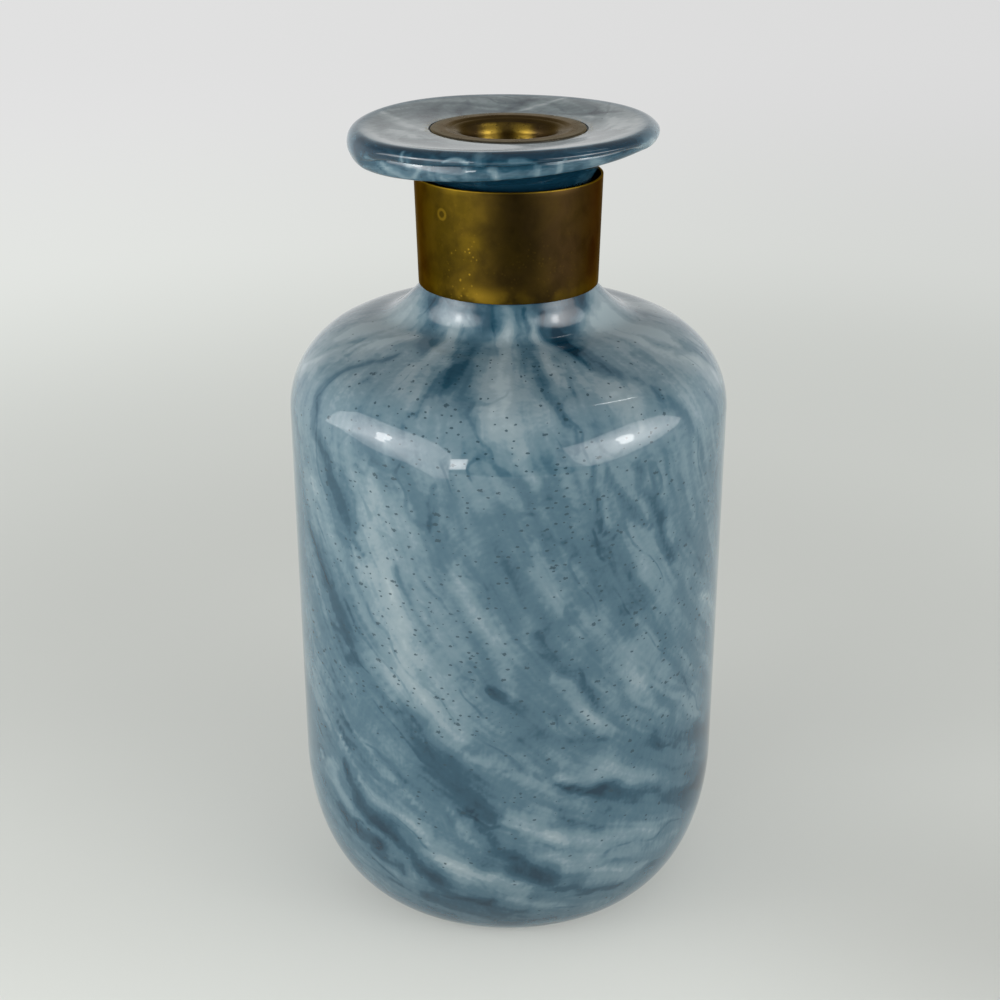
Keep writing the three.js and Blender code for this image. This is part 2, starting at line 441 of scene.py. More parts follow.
# The marbling of the neck and the shoulder
UPPER_STREAKS = (
    Streak(DARK, 0.9, 5.0, ((9, -58), (17, -51), (25, -45), (36, -38))),
    Streak(DARK, 0.6, 1.6, ((20, -28), (30, -25), (42, -22))),
    Streak(DARK, 1.0, 5.0, ((14, -17), (28, -17), (40, -18), (52, -21))),
    Streak(DARK, 0.5, 2.2, ((44, -21), (52, -25), (60, -25))),
    Streak(DARK, 0.5, 5.0, ((40, -14), (52, -13), (58, -9))),
    Streak(DARK, 0.8, 2.4, ((10, 9), (22, 10), (34, 9), (44, 10), (52, 13), (60, 17), (66, 18))),
    Streak(DARK, 0.4, 2.0, ((12, 3), (26, 4), (40, 6))),
    Streak(DARK, 1.3, 6.0, ((8, 53), (14, 45), (20, 38), (27, 33), (35, 29))),
    Streak(DARK, 1.1, 3.5, ((14, 21), (24, 24), (34, 27), (42, 31))),
    Streak(DARK, 0.9, 4.0, ((22, 33), (32, 33), (42, 35), (48, 37))),
    Streak(DARK, 0.8, 3.2, ((40, -47), (52, -56), (61, -58), (71, -57), (80, -52), (90, -48), (99, -44),
                            (108, -40))),
    Streak(DARK, 0.5, 1.3, ((82, -47), (92, -43), (100, -41))),
    Streak(DARK, 0.45, 2.6, ((46, 38), (54, 44), (62, 49), (72, 53), (86, 57))),
    Streak(PALE, 0.75, 6.0, ((10, -4), (26, -4), (40, -3), (54, -2), (66, 2), (76, 4))),
    Streak(PALE, 0.6, 3.5, ((16, 12), (28, 15), (40, 16), (50, 18))),
    Streak(PALE, 0.5, 4.5, ((20, -37), (30, -34), (40, -33))),
    Streak(PALE, 0.45, 6.0, ((42, -36), (50, -33), (58, -30))),
    # Partly painted sheen: these wide pale streaks on the far left and right of the shoulder stand for pale
    # glass and for the sheen of the bright surroundings at the edges
    Streak(PALE, 1.1, 9.0, ((12, -72), (26, -74), (42, -78))),
    Streak(PALE, 1.1, 9.0, ((8, 68), (24, 71), (42, 75))),
    Streak(PALE, 0.9, 6.0, ((26, -54), (38, -62), (50, -71), (62, -84))),
    Streak(PALE, 0.9, 6.0, ((24, 56), (38, 61), (50, 69), (64, 80))),
    Streak(DARK, 0.5, 2.0, ((30, -60), (44, -70), (56, -80))),
    Streak(DARK, 0.5, 2.0, ((28, 62), (42, 68), (56, 78))),
    Streak(PALE, 0.4, 5.0, ((44, 24), (50, 30), (56, 36))),
)

# The marbling of the body, which winds down to the right
BODY_STREAKS = (
    Streak(DARK, 0.9, 1.8, ((72, 20), (80, 21), (90, 23), (98, 26))),
    Streak(DARK, 0.8, 1.8, ((76, 25), (84, 28), (92, 32), (98, 36))),
    Streak(DARK, 0.9, 2.4, ((76, 31), (86, 35), (96, 39), (106, 43), (114, 46))),
    Streak(DARK, 0.45, 9.0, ((86, -4), (96, 2), (106, 12), (118, 16), (128, 10))),
    Streak(DARK, 0.5, 8.0, ((100, 22), (112, 26), (124, 30), (136, 34))),
    Streak(DARK, 0.5, 1.2, ((78, -20), (86, -19), (96, -18))),
    Streak(DARK, 0.55, 6.0, ((112, -64), (122, -57), (132, -50), (142, -46))),
    Streak(PALE, 0.6, 13.0, ((80, -37), (96, -32), (112, -33), (124, -30), (138, -27), (150, -24), (160, -18),
                             (167, -13))),
    Streak(PALE, 0.35, 6.0, ((118, -31), (132, -29), (146, -24), (156, -22))),
    Streak(PALE, 0.45, 6.0, ((92, -60), (104, -54), (116, -48))),
    Streak(PALE, 0.6, 4.5, ((108, -12), (120, -9), (132, -5), (144, -1), (154, 2))),
    Streak(PALE, 0.4, 4.0, ((100, 5), (110, 8), (122, 12))),
    Streak(DARK, 0.6, 3.5, ((128, 8), (138, 12), (148, 17), (158, 21))),
    Streak(DARK, 0.5, 4.0, ((112, 30), (120, 34), (128, 36))),
    Streak(DARK, 0.5, 8.0, ((130, -56), (142, -50), (150, -44))),
    Streak(PALE, 0.45, 3.0, ((148, 12), (156, 16), (164, 20), (172, 25))),
    Streak(PALE, 0.35, 3.5, ((140, 30), (152, 34), (164, 38))),
    Streak(DARK, 0.5, 3.0, ((144, 42), (154, 47), (164, 52), (174, 58))),
    Streak(DARK, 0.4, 2.5, ((158, 38), (168, 44), (178, 50))),
    Streak(DARK, 0.4, 5.0, ((150, -4), (158, 2), (166, 7), (172, 15), (177, 22))),
)

# The marbling of the lower body and the heel
LOWER_STREAKS = (
    Streak(DARK, 0.65, 5.5, ((150, -44), (158, -37), (166, -30), (175, -22), (185, -15), (193, -9),
                             (200, -3))),
    Streak(DARK, 0.6, 2.0, ((198, 14), (203, 20), (207, 26))),
    Streak(DARK, 0.9, 2.8, ((196, -12), (205, -6), (214, -1), (222, 4), (229, 11), (236, 20), (240, 34))),
    Streak(DARK, 0.9, 4.5, ((198, -48), (206, -42), (213, -36), (222, -28), (230, -20), (236, -12),
                            (240, -4))),
    Streak(DARK, 0.7, 2.0, ((178, -52), (186, -47), (194, -43), (200, -40))),
    Streak(DARK, 0.5, 1.6, ((172, -52), (176, -46), (180, -41))),
    Streak(DARK, 0.6, 4.0, ((236, -24), (243, -12), (249, 2), (250, 16))),
    Streak(DARK, 0.7, 3.0, ((212, -52), (218, -45), (224, -38), (232, -30))),
    Streak(PALE, 0.7, 2.6, ((176, -44), (184, -37), (191, -31), (197, -25))),
    Streak(PALE, 0.9, 3.2, ((186, -50), (194, -43), (200, -37), (206, -28), (213, -20), (219, -12), (225, -4),
                            (232, 6))),
    Streak(PALE, 0.7, 3.5, ((196, -62), (203, -54), (209, -47), (214, -41))),
    Streak(PALE, 0.6, 1.8, ((193, -18), (202, -14), (210, -10), (215, -6))),
    Streak(PALE, 0.6, 3.5, ((174, -10), (179, -4), (184, 4), (189, 12), (193, 20))),
    Streak(PALE, 0.8, 5.0, ((198, -2), (203, 4), (208, 9), (213, 14))),
    Streak(PALE, 0.8, 5.5, ((206, 10), (212, 20), (215, 30), (219, 40))),
    Streak(PALE, 0.9, 6.0, ((218, 10), (224, 18), (229, 26), (234, 34), (235, 38))),
    Streak(PALE, 0.7, 4.0, ((218, -18), (224, -10), (230, -3), (235, 4))),
    Streak(PALE, 0.45, 3.0, ((218, -36), (224, -31), (231, -26))),
    Streak(PALE, 0.5, 2.0, ((236, 0), (240, 8), (243, 18))),
    Streak(PALE, 1.25, 6.5, ((182, 12), (189, 22), (196, 34), (204, 48), (210, 62))),
    Streak(PALE, 0.45, 5.0, ((212, -2), (218, 6), (224, 14))),
    Streak(PALE, 0.5, 6.0, ((178, 44), (187, 52), (196, 60))),
    Streak(DARK, 0.15, 9.0, ((178, -24), (186, -14), (194, -6))),
    Streak(DARK, 0.2, 7.0, ((156, -2), (164, 6), (172, 14))),
)

# Streaks on the folded lip, where fall counts upwards as a negative number; two are painted highlights
LIP_STREAKS = (
    Streak(DARK, 1.6, 2.6, ((-62, -68), (-60, -62), (-58, -57))),
    Streak(PALE, 1.6, 0.7, ((-64, -35), (-61.5, -35), (-59, -36))),
    Streak(PALE, 1.4, 0.7, ((-64, -32), (-61.5, -32.5), (-59, -33.5))),
    Streak(PALE, 1.2, 1.5, ((-56.4, -56), (-56, -48), (-55.4, -40), (-55, -29))),
    Streak(PALE, 1.8, 0.7, ((-58.5, -39), (-58, -31), (-57.5, -22))),
    Streak(PALE, 0.9, 1.2, ((-57.5, -29), (-57, -22))),
    Streak(PALE, 2.0, 0.6, ((-58, -18.5), (-58, -15.5), (-58.2, -12.5))),
    Streak(PALE, 0.9, 1.6, ((-60, -10), (-57, -8.5), (-53, -7))),
    Streak(PALE, 1.1, 1.6, ((-58, 0), (-57.5, 5), (-57, 10))),
    Streak(PALE, 0.7, 1.0, ((-54.5, -24), (-50, -23))),
    Streak(PALE, 0.7, 1.0, ((-54.5, -19.5), (-50, -18.5))),
    Streak(PALE, 0.7, 1.0, ((-54.5, -15), (-49.5, -14.5))),
    Streak(PALE, 1.3, 2.0, ((-54.5, -5), (-50, -3.5), (-44, -2))),
    Streak(PALE, 1.0, 1.6, ((-54.5, 9.5), (-50, 10))),
    Streak(PALE, 1.3, 1.1, ((-58, 22), (-55, 20.5), (-51, 19))),
    # Painted highlights: two thin white lines, on the upper roll and along the crest, to the right of the
    # front
    Streak(PALE, 1.7, 0.7, ((-62, 22), (-62.6, 28), (-63, 34))),
    Streak(PALE, 1.5, 0.8, ((-65, 30), (-65, 37), (-65, 43))),
    Streak(DARK, 1.0, 2.6, ((-63, 43), (-60, 46), (-57, 49))),
    Streak(PALE, 1.6, 3.0, ((-61, 52), (-59, 59), (-57, 68))),
    Streak(PALE, 0.8, 2.0, ((-57, 31), (-54, 35), (-51, 39))),
    Streak(PALE, 1.6, 1.4, ((-46, 28), (-42, 33), (-37, 37))),
    Streak(PALE, 1.0, 4.0, ((-67, -112), (-77, -95), (-85, -74))),
    Streak(PALE, 0.9, 2.0, ((-71, -80), (-77, -62), (-83, -48))),
    Streak(DARK, 0.8, 3.0, ((-71, -140), (-79, -125), (-85, -105))),
    Streak(PALE, 0.8, 5.0, ((-71, 70), (-77, 95), (-81, 120))),
    Streak(DARK, 0.8, 3.0, ((-69, 165), (-77, 178), (-85, 195))),
    Streak(PALE, 0.9, 2.0, ((-67, 150), (-75, 160), (-81, 172))),
    Streak(DARK, 0.8, 2.5, ((-69, 110), (-77, 128), (-83, 140))),
    Streak(PALE, 0.7, 1.5, ((-68, 30), (-74, 44), (-80, 62))),
    Streak(DARK, 0.6, 2.0, ((-70, -160), (-78, -150), (-84, -138))),
)


@dataclass(frozen=True)
class DrawnNoise:
    """Soft noise drawn out along the flow of the glass: the mean of a few samples along it.

    Size and step are in millimetres; the shift, in metres, keeps the layers from repeating one another.
    """

    size: float
    step: float
    count: int
    share: float
    shift: float
    detail: float = 1.5

    def spread(self, bench: NodeBench, place: Socket, grain: Socket) -> Socket:
        """Adds the noise's nodes.

        Args:
            bench: The material that they go into.
            place: The piece's own coordinates, curled.
            grain: The direction of the flow.

        Returns:
            The noise about 0, as strong as its share.
        """
        base = bench.stretch(place, (1, 1, 1), (self.shift, -self.shift, 0.5 * self.shift))
        total = -0.5 * self.count
        for index in range(self.count):
            offset = (index - (self.count - 1) / 2) * self.step * MM
            along = bench.add("VectorMath", {0: grain, 1: (offset,) * 3, 2: base}, operation="MULTIPLY_ADD")
            total = bench.calc("ADD", total, bench.noise(along.outputs[0], self.size, self.detail))
        return bench.times(total, self.share / self.count)


@dataclass(frozen=True)
class MarbledGlass:
    """Milky glass with blue-grey marbling and dark seed bubbles, under a clear casing.

    Each size of seed is its spacing in millimetres, its largest radius as a share of that, and how many show.
    """

    colours: Stops = (
        (0.0, (0.004, 0.027, 0.049)),
        (0.22, (0.018, 0.062, 0.096)),
        (0.40, (0.052, 0.112, 0.152)),
        (0.54, (0.092, 0.160, 0.200)),
        (0.68, (0.148, 0.220, 0.256)),
        (0.84, (0.218, 0.286, 0.314)),
        (1.0, (0.284, 0.356, 0.384)),
    )
    # Paler, greyer colours for the painted sheen on the top of the lip
    sheen_colours: Stops = (
        (0.18, (0.070, 0.084, 0.096)),
        (0.36, (0.120, 0.146, 0.154)),
        (0.54, (0.206, 0.250, 0.252)),
        (0.78, (0.450, 0.495, 0.500)),
    )
    seed_colour: Colour = (0.018, 0.046, 0.064)
    crust_colour: Colour = (0.40, 0.37, 0.26)
    tone_share: float = 0.34
    curl: float = 8.0
    curl_size: float = 24.0
    clouds: DrawnNoise = DrawnNoise(16.0, 9.0, 3, 0.75, 0.0)
    wisps: DrawnNoise = DrawnNoise(5.0, 3.6, 7, 1.05, 0.4)
    threads: DrawnNoise = DrawnNoise(2.2, 1.9, 9, 0.65, 0.9)
    filaments: DrawnNoise = DrawnNoise(10.0, 5.5, 7, 1.0, 1.7, 0.0)
    filament_width: float = 0.024
    filament_depth: float = 0.12
    filament_patch: float = 17.0
    terraces: float = 5.0
    terrace_depth: float = 0.5
    seed_sizes: tuple[tuple[float, float, float], ...] = ((3.1, 0.215, 0.19), (7.5, 0.14, 0.22))
    seed_flatness: float = 1.7
    seed_raggedness: float = 0.34
    seed_crowd: float = 26.0
    seed_depth: float = 0.8
    flake: float = 1.1
    casing_rough: float = 0.045
    neck_rough: float = 0.085
    crust_rough: float = 0.5
    neck_low: Point = (208.0, 220.0)
    neck_high: Point = (236.0, 246.0)

    def marbling(self, bench: NodeBench) -> Socket:
        """Adds the streaks up into one number.

        Args:
            bench: The material that the nodes go into.

        Returns:
            The number's socket, low for navy and high for milky glass.
        """
        swirls = {"Vector": bench.place(), "Scale": 1 / (self.curl_size * MM), "Detail": 2.0}
        bend = bench.add("TexNoise", swirls).outputs["Color"]
        curled = {0: bend, 1: (self.curl * MM,) * 3, 2: bench.place()}
        place = bench.add("VectorMath", curled, operation="MULTIPLY_ADD").outputs[0]
        grain = bench.attribute("grain", "Vector")
        value = bench.calc("MULTIPLY_ADD", bench.attribute("tone", "Fac"), self.tone_share, 0.5)
        for layer in (self.clouds, self.wisps, self.threads):
            value = bench.calc("ADD", value, layer.spread(bench, place, grain))
        away = bench.calc("ABSOLUTE", self.filaments.spread(bench, place, grain))
        thin = bench.between(away, 0.1 * self.filament_width, self.filament_width, self.filament_depth, 0.0)
        patchy = bench.between(bench.noise(place, self.filament_patch, 2.0), 0.46, 0.60)
        value = bench.calc("SUBTRACT", value, bench.times(thin, patchy))
        wave = FULL_TURN * self.terraces
        swing = bench.calc("SINE", bench.times(value, wave))
        return bench.calc("MULTIPLY_ADD", swing, -self.terrace_depth / wave, value)

    def seeds(self, bench: NodeBench) -> Socket:
        """Marks the small dark bubbles, which lie flattened in the wall, in two sizes.

        Args:
            bench: The material that the nodes go into.

        Returns:
            A socket that is 1 in a bubble and 0 elsewhere.
        """
        sheet = bench.attribute("sheet", "Vector")
        jitter = bench.noise(bench.place(), 0.8, 2.0)
        ragged = bench.calc("MULTIPLY_ADD", jitter, self.seed_raggedness, -self.seed_raggedness / 2)
        crowd = bench.noise(bench.place(), self.seed_crowd, 2.0)
        crowd = bench.calc("ADD", crowd, bench.attribute("seeded", "Fac"))
        crowd = bench.calc("SUBTRACT", crowd, 0.5)
        marks = 0.0
        for spacing, largest, share in self.seed_sizes:
            flattened = bench.stretch(sheet, (1, self.seed_flatness, 1), (spacing, 0, 0))
            cells = bench.cells(flattened, spacing, flat=True)
            chance = bench.add("SeparateColor", {0: cells.outputs["Color"]}).outputs
            reach = bench.between(chance["Red"], 0.0, 1.0, 0.25 * largest, largest)
            gap = bench.calc("SUBTRACT", bench.calc("ADD", cells.outputs["Distance"], ragged), reach)
            inside = bench.between(gap, -0.05, 0.02, 1.0, 0.0)
            shown = bench.calc("LESS_THAN", chance["Green"], bench.times(crowd, 2 * share))
            marks = bench.calc("MAXIMUM", marks, bench.times(inside, shown))
        return marks

    def material(self) -> bpy.types.Material:
        """Builds the glass's material.

        Returns:
            The finished material.
        """
        bench = NodeBench("marbled_glass")
        value = self.marbling(bench)
        body = bench.ramp(value, self.colours)
        # Painted sheen on the top of the lip
        colour = bench.blend(bench.attribute("top_sheen", "Fac"), body, bench.ramp(value, self.sheen_colours))
        colour = bench.blend(bench.times(self.seeds(bench), self.seed_depth), colour, self.seed_colour)
        flakes = bench.between(bench.noise(bench.place(), self.flake, 3.0, 0.6), 0.50, 0.60)
        crust = bench.times(flakes, bench.attribute("crust", "Fac"))
        colour = bench.blend(crust, colour, self.crust_colour)
        level = bench.axis("Z")
        neck = bench.times(bench.span(level, self.neck_low), bench.span(level, self.neck_high, 1.0, 0.0))
        rough = bench.calc("MULTIPLY_ADD", neck, self.neck_rough, self.casing_rough)
        rough = bench.calc("MULTIPLY_ADD", crust, self.crust_rough, rough)
        return bench.surface(Base_Color=colour, Roughness=rough, IOR=1.5)


@dataclass(frozen=True)
class AgedBrass:
    """Tarnished satin brass with olive, brown and gold patches and small pits.

    The spans are places along X or Z in millimetres, from where a change starts to where it ends.
    """

    olive: Colour = (0.056, 0.037, 0.0035)
    brown: Colour = (0.030, 0.0185, 0.0060)
    rust: Colour = (0.056, 0.032, 0.0125)
    soot: Colour = (0.016, 0.0105, 0.003)
    gold: Colour = (0.19, 0.120, 0.011)
    edge_tint: tuple[float, float, float, float] = (0.55, 0.42, 0.22, 1.0)
    cloud: float = 15.0
    cloudiness: float = 1.3
    # Where olive turns to brown: partly tarnish and partly painted lamplight on the left
    brown_span: Point = (-19.0, 10.0)
    rust_span: Point = (8.0, 22.0)
    rust_share: float = 0.8
    worn_span: Point = (-14.0, 2.0)
    worn_shares: Point = (0.16, 0.05)
    foot_span: Point = (228.0, 235.0)
    foot_middle: float = -8.0
    foot_share: float = 0.85
    top_glint_span: Point = (263.8, 264.4)
    top_glint_share: float = 0.9
    stain_place: tuple[float, float, float] = (-21.4, -22.6, 255.4)
    stain_radius: float = 1.6
    stain_span: Point = (0.2, 0.7)
    stain_share: float = 0.45
    pit_spacing: float = 1.7
    pit_middle: float = -14.5
    pit_span: Point = (2.0, 6.0)
    pit_top: Point = (244.0, 252.0)
    pit_share: float = 0.8

    def tarnish_and_side_light(self, bench: NodeBench, clouds: Socket) -> Socket:
        """Blends painted lamp-lit olive on the left into brown and rust on the right, under a sooty patina.

        Args:
            bench: The material that the nodes go into.
            clouds: Soft noise that breaks the change up.

        Returns:
            The colour's socket.
        """
        # Partly painted light: the left side is paler olive, as if lit by the lamp, and the right side darker
        # brown
        side = bench.span(bench.axis("X"), self.brown_span)
        patches = bench.calc("MULTIPLY_ADD", clouds, self.cloudiness, -self.cloudiness / 2)
        colour = bench.blend(bench.calc("ADD", side, patches, clamp=True), self.olive, self.brown)
        rusty = bench.span(bench.axis("X"), self.rust_span, 0.0, self.rust_share)
        colour = bench.blend(rusty, colour, self.rust)
        patina = bench.noise(bench.stretch(bench.place(), (1, 1, 0.8), (0.1, 0.9, 0.6)), 7.0, 5.0, 0.62, 0.5)
        return bench.blend(bench.between(patina, 0.40, 0.70, 0.12, 0.55), colour, self.soot)

    def handled(self, bench: NodeBench, colour: Socket) -> Socket:
        """Brings gold out where the band is worn, in patches and along its foot, and paints a highlight round
        its top edge.

        Args:
            bench: The material that the nodes go into.
            colour: The colour so far.

        Returns:
            The new colour's socket.
        """
        worn = bench.noise(bench.stretch(bench.place(), (1, 1, 1), (0.7, 0.3, 0.4)), 12.0, 4.0, 0.6)
        left = bench.span(bench.axis("X"), self.worn_span, *self.worn_shares)
        colour = bench.blend(bench.times(bench.between(worn, 0.42, 0.66), left), colour, self.gold)
        fresh = bench.noise(bench.stretch(bench.place(), (1, 1, 1), (0.2, 0.5, 0.1)), 11.0, 3.0)
        aside = bench.calc("ABSOLUTE", bench.calc("SUBTRACT", bench.axis("X"), self.foot_middle * MM))
        fresh = bench.times(bench.between(fresh, 0.40, 0.62), bench.span(aside, (6.0, 16.0), 1.0, 0.35))
        foot = bench.times(bench.span(bench.axis("Z"), self.foot_span, 1.0, 0.0), fresh)
        # Painted highlight: a thin gold line round the top edge
        top = bench.span(bench.axis("Z"), self.top_glint_span, 0.0, self.top_glint_share)
        return bench.blend(bench.calc("MAXIMUM", bench.times(foot, self.foot_share), top), colour, self.gold)

    def ringed(self, bench: NodeBench, colour: Socket) -> Socket:
        """Draws the ring that a drop has left.

        Args:
            bench: The material that the nodes go into.
            colour: The colour so far.

        Returns:
            The new colour's socket.
        """
        ends = {0: bench.place(), 1: tuple(value * MM for value in self.stain_place)}
        gap = bench.add("VectorMath", ends, operation="DISTANCE").outputs["Value"]
        edge = bench.calc("ABSOLUTE", bench.calc("SUBTRACT", gap, self.stain_radius * MM))
        ring = bench.span(edge, self.stain_span, 1.0, 0.0)
        return bench.blend(bench.times(ring, self.stain_share), colour, self.gold)

    def pits(self, bench: NodeBench) -> Socket:
        """Marks the small pits, which gather in one upright strip of the band's lower half.

        Args:
            bench: The material that the nodes go into.

        Returns:
            A socket that is 1 in a pit and 0 elsewhere.
        """
        cells = bench.cells(bench.place(), self.pit_spacing)
        pit = bench.between(cells.outputs["Distance"], 0.1, 0.3, 1.0, 0.0)
        beside = bench.calc("ABSOLUTE", bench.calc("SUBTRACT", bench.axis("X"), self.pit_middle * MM))
        strip = bench.times(bench.span(beside, self.pit_span, 1.0, 0.12),
                            bench.span(bench.axis("Z"), self.pit_top, 1.0, 0.1))
        patchy = bench.between(bench.noise(bench.place(), 5.0, 2.0), 0.36, 0.50)
        return bench.times(pit, bench.times(strip, patchy))

    def material(self) -> bpy.types.Material:
        """Builds the collar's material.

        Returns:
            The finished material.
        """
        bench = NodeBench("aged_brass")
        clouds = bench.noise(bench.place(), self.cloud, 3.0, 0.5, 0.4)
        colour = self.ringed(bench, self.handled(bench, self.tarnish_and_side_light(bench, clouds)))
        pits = self.pits(bench)
        colour = bench.blend(bench.times(pits, self.pit_share), colour, self.gold)
        grain = bench.noise(bench.stretch(bench.place(), (1, 1, 0.15)), 0.6, 3.0)
        rough = bench.calc("MULTIPLY_ADD", clouds, 0.3, 0.27)
        dents = bench.times(bench.noise(bench.place(), 14.0, 2.0), 4.0)
        relief = bench.calc("ADD", dents, bench.calc("SUBTRACT", bench.times(grain, 0.1), pits))
        return bench.surface(Base_Color=colour, Metallic=1.0, Roughness=rough, Specular_Tint=self.edge_tint,
                             Normal=bench.bump(relief, 0.03))


@dataclass(frozen=True)
class WornBrass:
    """Handled brass: greyed rim, dark dish, pitted and bright throat, all partly painted light.

    The spans are millimetres from the axis or, for the painted lamp reflection, from its middle along X.
    """

    # The rim's pale grey is partly worn metal and partly a painted reflection of the bright surroundings
    rim: Colour = (0.146, 0.128, 0.094)
    dish: Colour = (0.125, 0.084, 0.045)
    throat: Colour = (0.085, 0.055, 0.022)
    # Colour of the painted reflection of the two side lamps in the throat
    lamp_glint: Colour = (0.50, 0.33, 0.05)
    stain: Colour = (0.06, 0.035, 0.014)
    pit: Colour = (0.05, 0.03, 0.01)
    edge_tint: tuple[float, float, float, float] = (0.62, 0.56, 0.46, 1.0)
    wobble: float = 1.6
    rim_span: Point = (22.4, 24.2)
    throat_span: Point = (15.2, 16.6)
    shade_span: Point = (16.0, 21.6)
    glint_middle: float = -0.7
    glint_span: Point = (0.6, 4.1)
    glint_least: float = 0.3
    glint_end: Point = (5.6, 10.6)
    pit_spacing: float = 0.8

    def material(self) -> bpy.types.Material:
        """Builds the ferrule's material.

        Returns:
            The finished material.
        """
        bench = NodeBench("worn_brass")
        place = bench.place()
        flattened = {0: bench.stretch(place, (1, 1, 0))}
        flat = bench.add("VectorMath", flattened, operation="LENGTH").outputs["Value"]
        clouds = bench.noise(place, 6.0, 4.0, 0.6, 0.4)
        edge = bench.calc("MULTIPLY_ADD", clouds, self.wobble * MM, -self.wobble / 2 * MM)
        reach = bench.calc("ADD", flat, edge)
        inner = bench.span(reach, self.throat_span, 1.0, 0.0)
        # Painted shade: the dish darkens towards the throat
        shade = bench.span(reach, self.shade_span, 1.0, 0.0)
        across = bench.calc("ABSOLUTE", bench.calc("SUBTRACT", bench.axis("X"), self.glint_middle * MM))
        # Painted reflection of the two side lamps: two bright gold patches, one each side of the middle of
        # the throat
        glint = bench.times(bench.span(across, self.glint_span, self.glint_least, 1.0),
                          bench.span(across, self.glint_end, 1.0, 0.0))
        # Partly painted reflection: the rim band is greyer than the dish
        colour = bench.blend(bench.span(reach, self.rim_span), self.dish, self.rim)
        colour = bench.blend(shade, colour, self.throat)
        colour = bench.blend(bench.times(inner, glint), colour, self.lamp_glint)
        colour = bench.blend(bench.between(clouds, 0.4, 0.66, 0.0, 0.45), colour, self.stain)
        pits = bench.between(bench.cells(place, self.pit_spacing).outputs["Distance"], 0.15, 0.4, 1.0, 0.0)
        mottle = bench.times(pits, bench.between(bench.noise(place, 3.0, 2.0), 0.4, 0.6))
        mottle = bench.times(mottle, bench.calc("MULTIPLY_ADD", inner, 0.8, 0.2))
        colour = bench.blend(bench.times(mottle, 0.8), colour, self.pit)
        rough = bench.calc("MULTIPLY_ADD", clouds, 0.2, bench.calc("MULTIPLY_ADD", inner, 0.12, 0.15))
        return bench.surface(Base_Color=colour, Metallic=1.0, Roughness=rough, Specular_Tint=self.edge_tint,
                             Normal=bench.bump(bench.times(mottle, -1.0), 0.1))


@dataclass(frozen=True)
class Cork:
    """Natural cork with dark pores."""

    pale: Colour = (0.47, 0.29, 0.14)
    dark: Colour = (0.29, 0.15, 0.06)
    pore: Colour = (0.07, 0.035, 0.015)

    def material(self) -> bpy.types.Material:
        """Builds the bung's material.

        Returns:
            The finished material.
        """
        bench = NodeBench("cork")
        place = bench.place()
        grain = bench.noise(place, 2.2, 5.0, 0.65)
        colour = bench.blend(bench.between(grain, 0.35, 0.65), self.dark, self.pale)
        streak = bench.noise(bench.stretch(place, (1, 1, 0.35), (0.3, 0.1, 0.2)), 2.6, 3.0)
        pores = bench.between(streak, 0.62, 0.70)
        colour = bench.blend(pores, colour, self.pore)
        height = bench.calc("SUBTRACT", grain, bench.times(pores, 1.5))
        return bench.surface(Base_Color=colour, Roughness=0.85, Normal=bench.bump(height, 0.25))


@dataclass(frozen=True)
class LipPull:
    """A place where the hot lip was drawn out or up; azimuth in degrees from +X towards +Y."""

    azimuth: float
    spread: float
    out: float
    up: float

    def weigh(self, azimuth: np.ndarray) -> np.ndarray:
        """Gives how strongly the pull acts at each azimuth, in radians."""
        turn = (np.degrees(azimuth) - self.azimuth + 180) % 360 - 180
        return np.exp(-(turn / self.spread) ** 2)


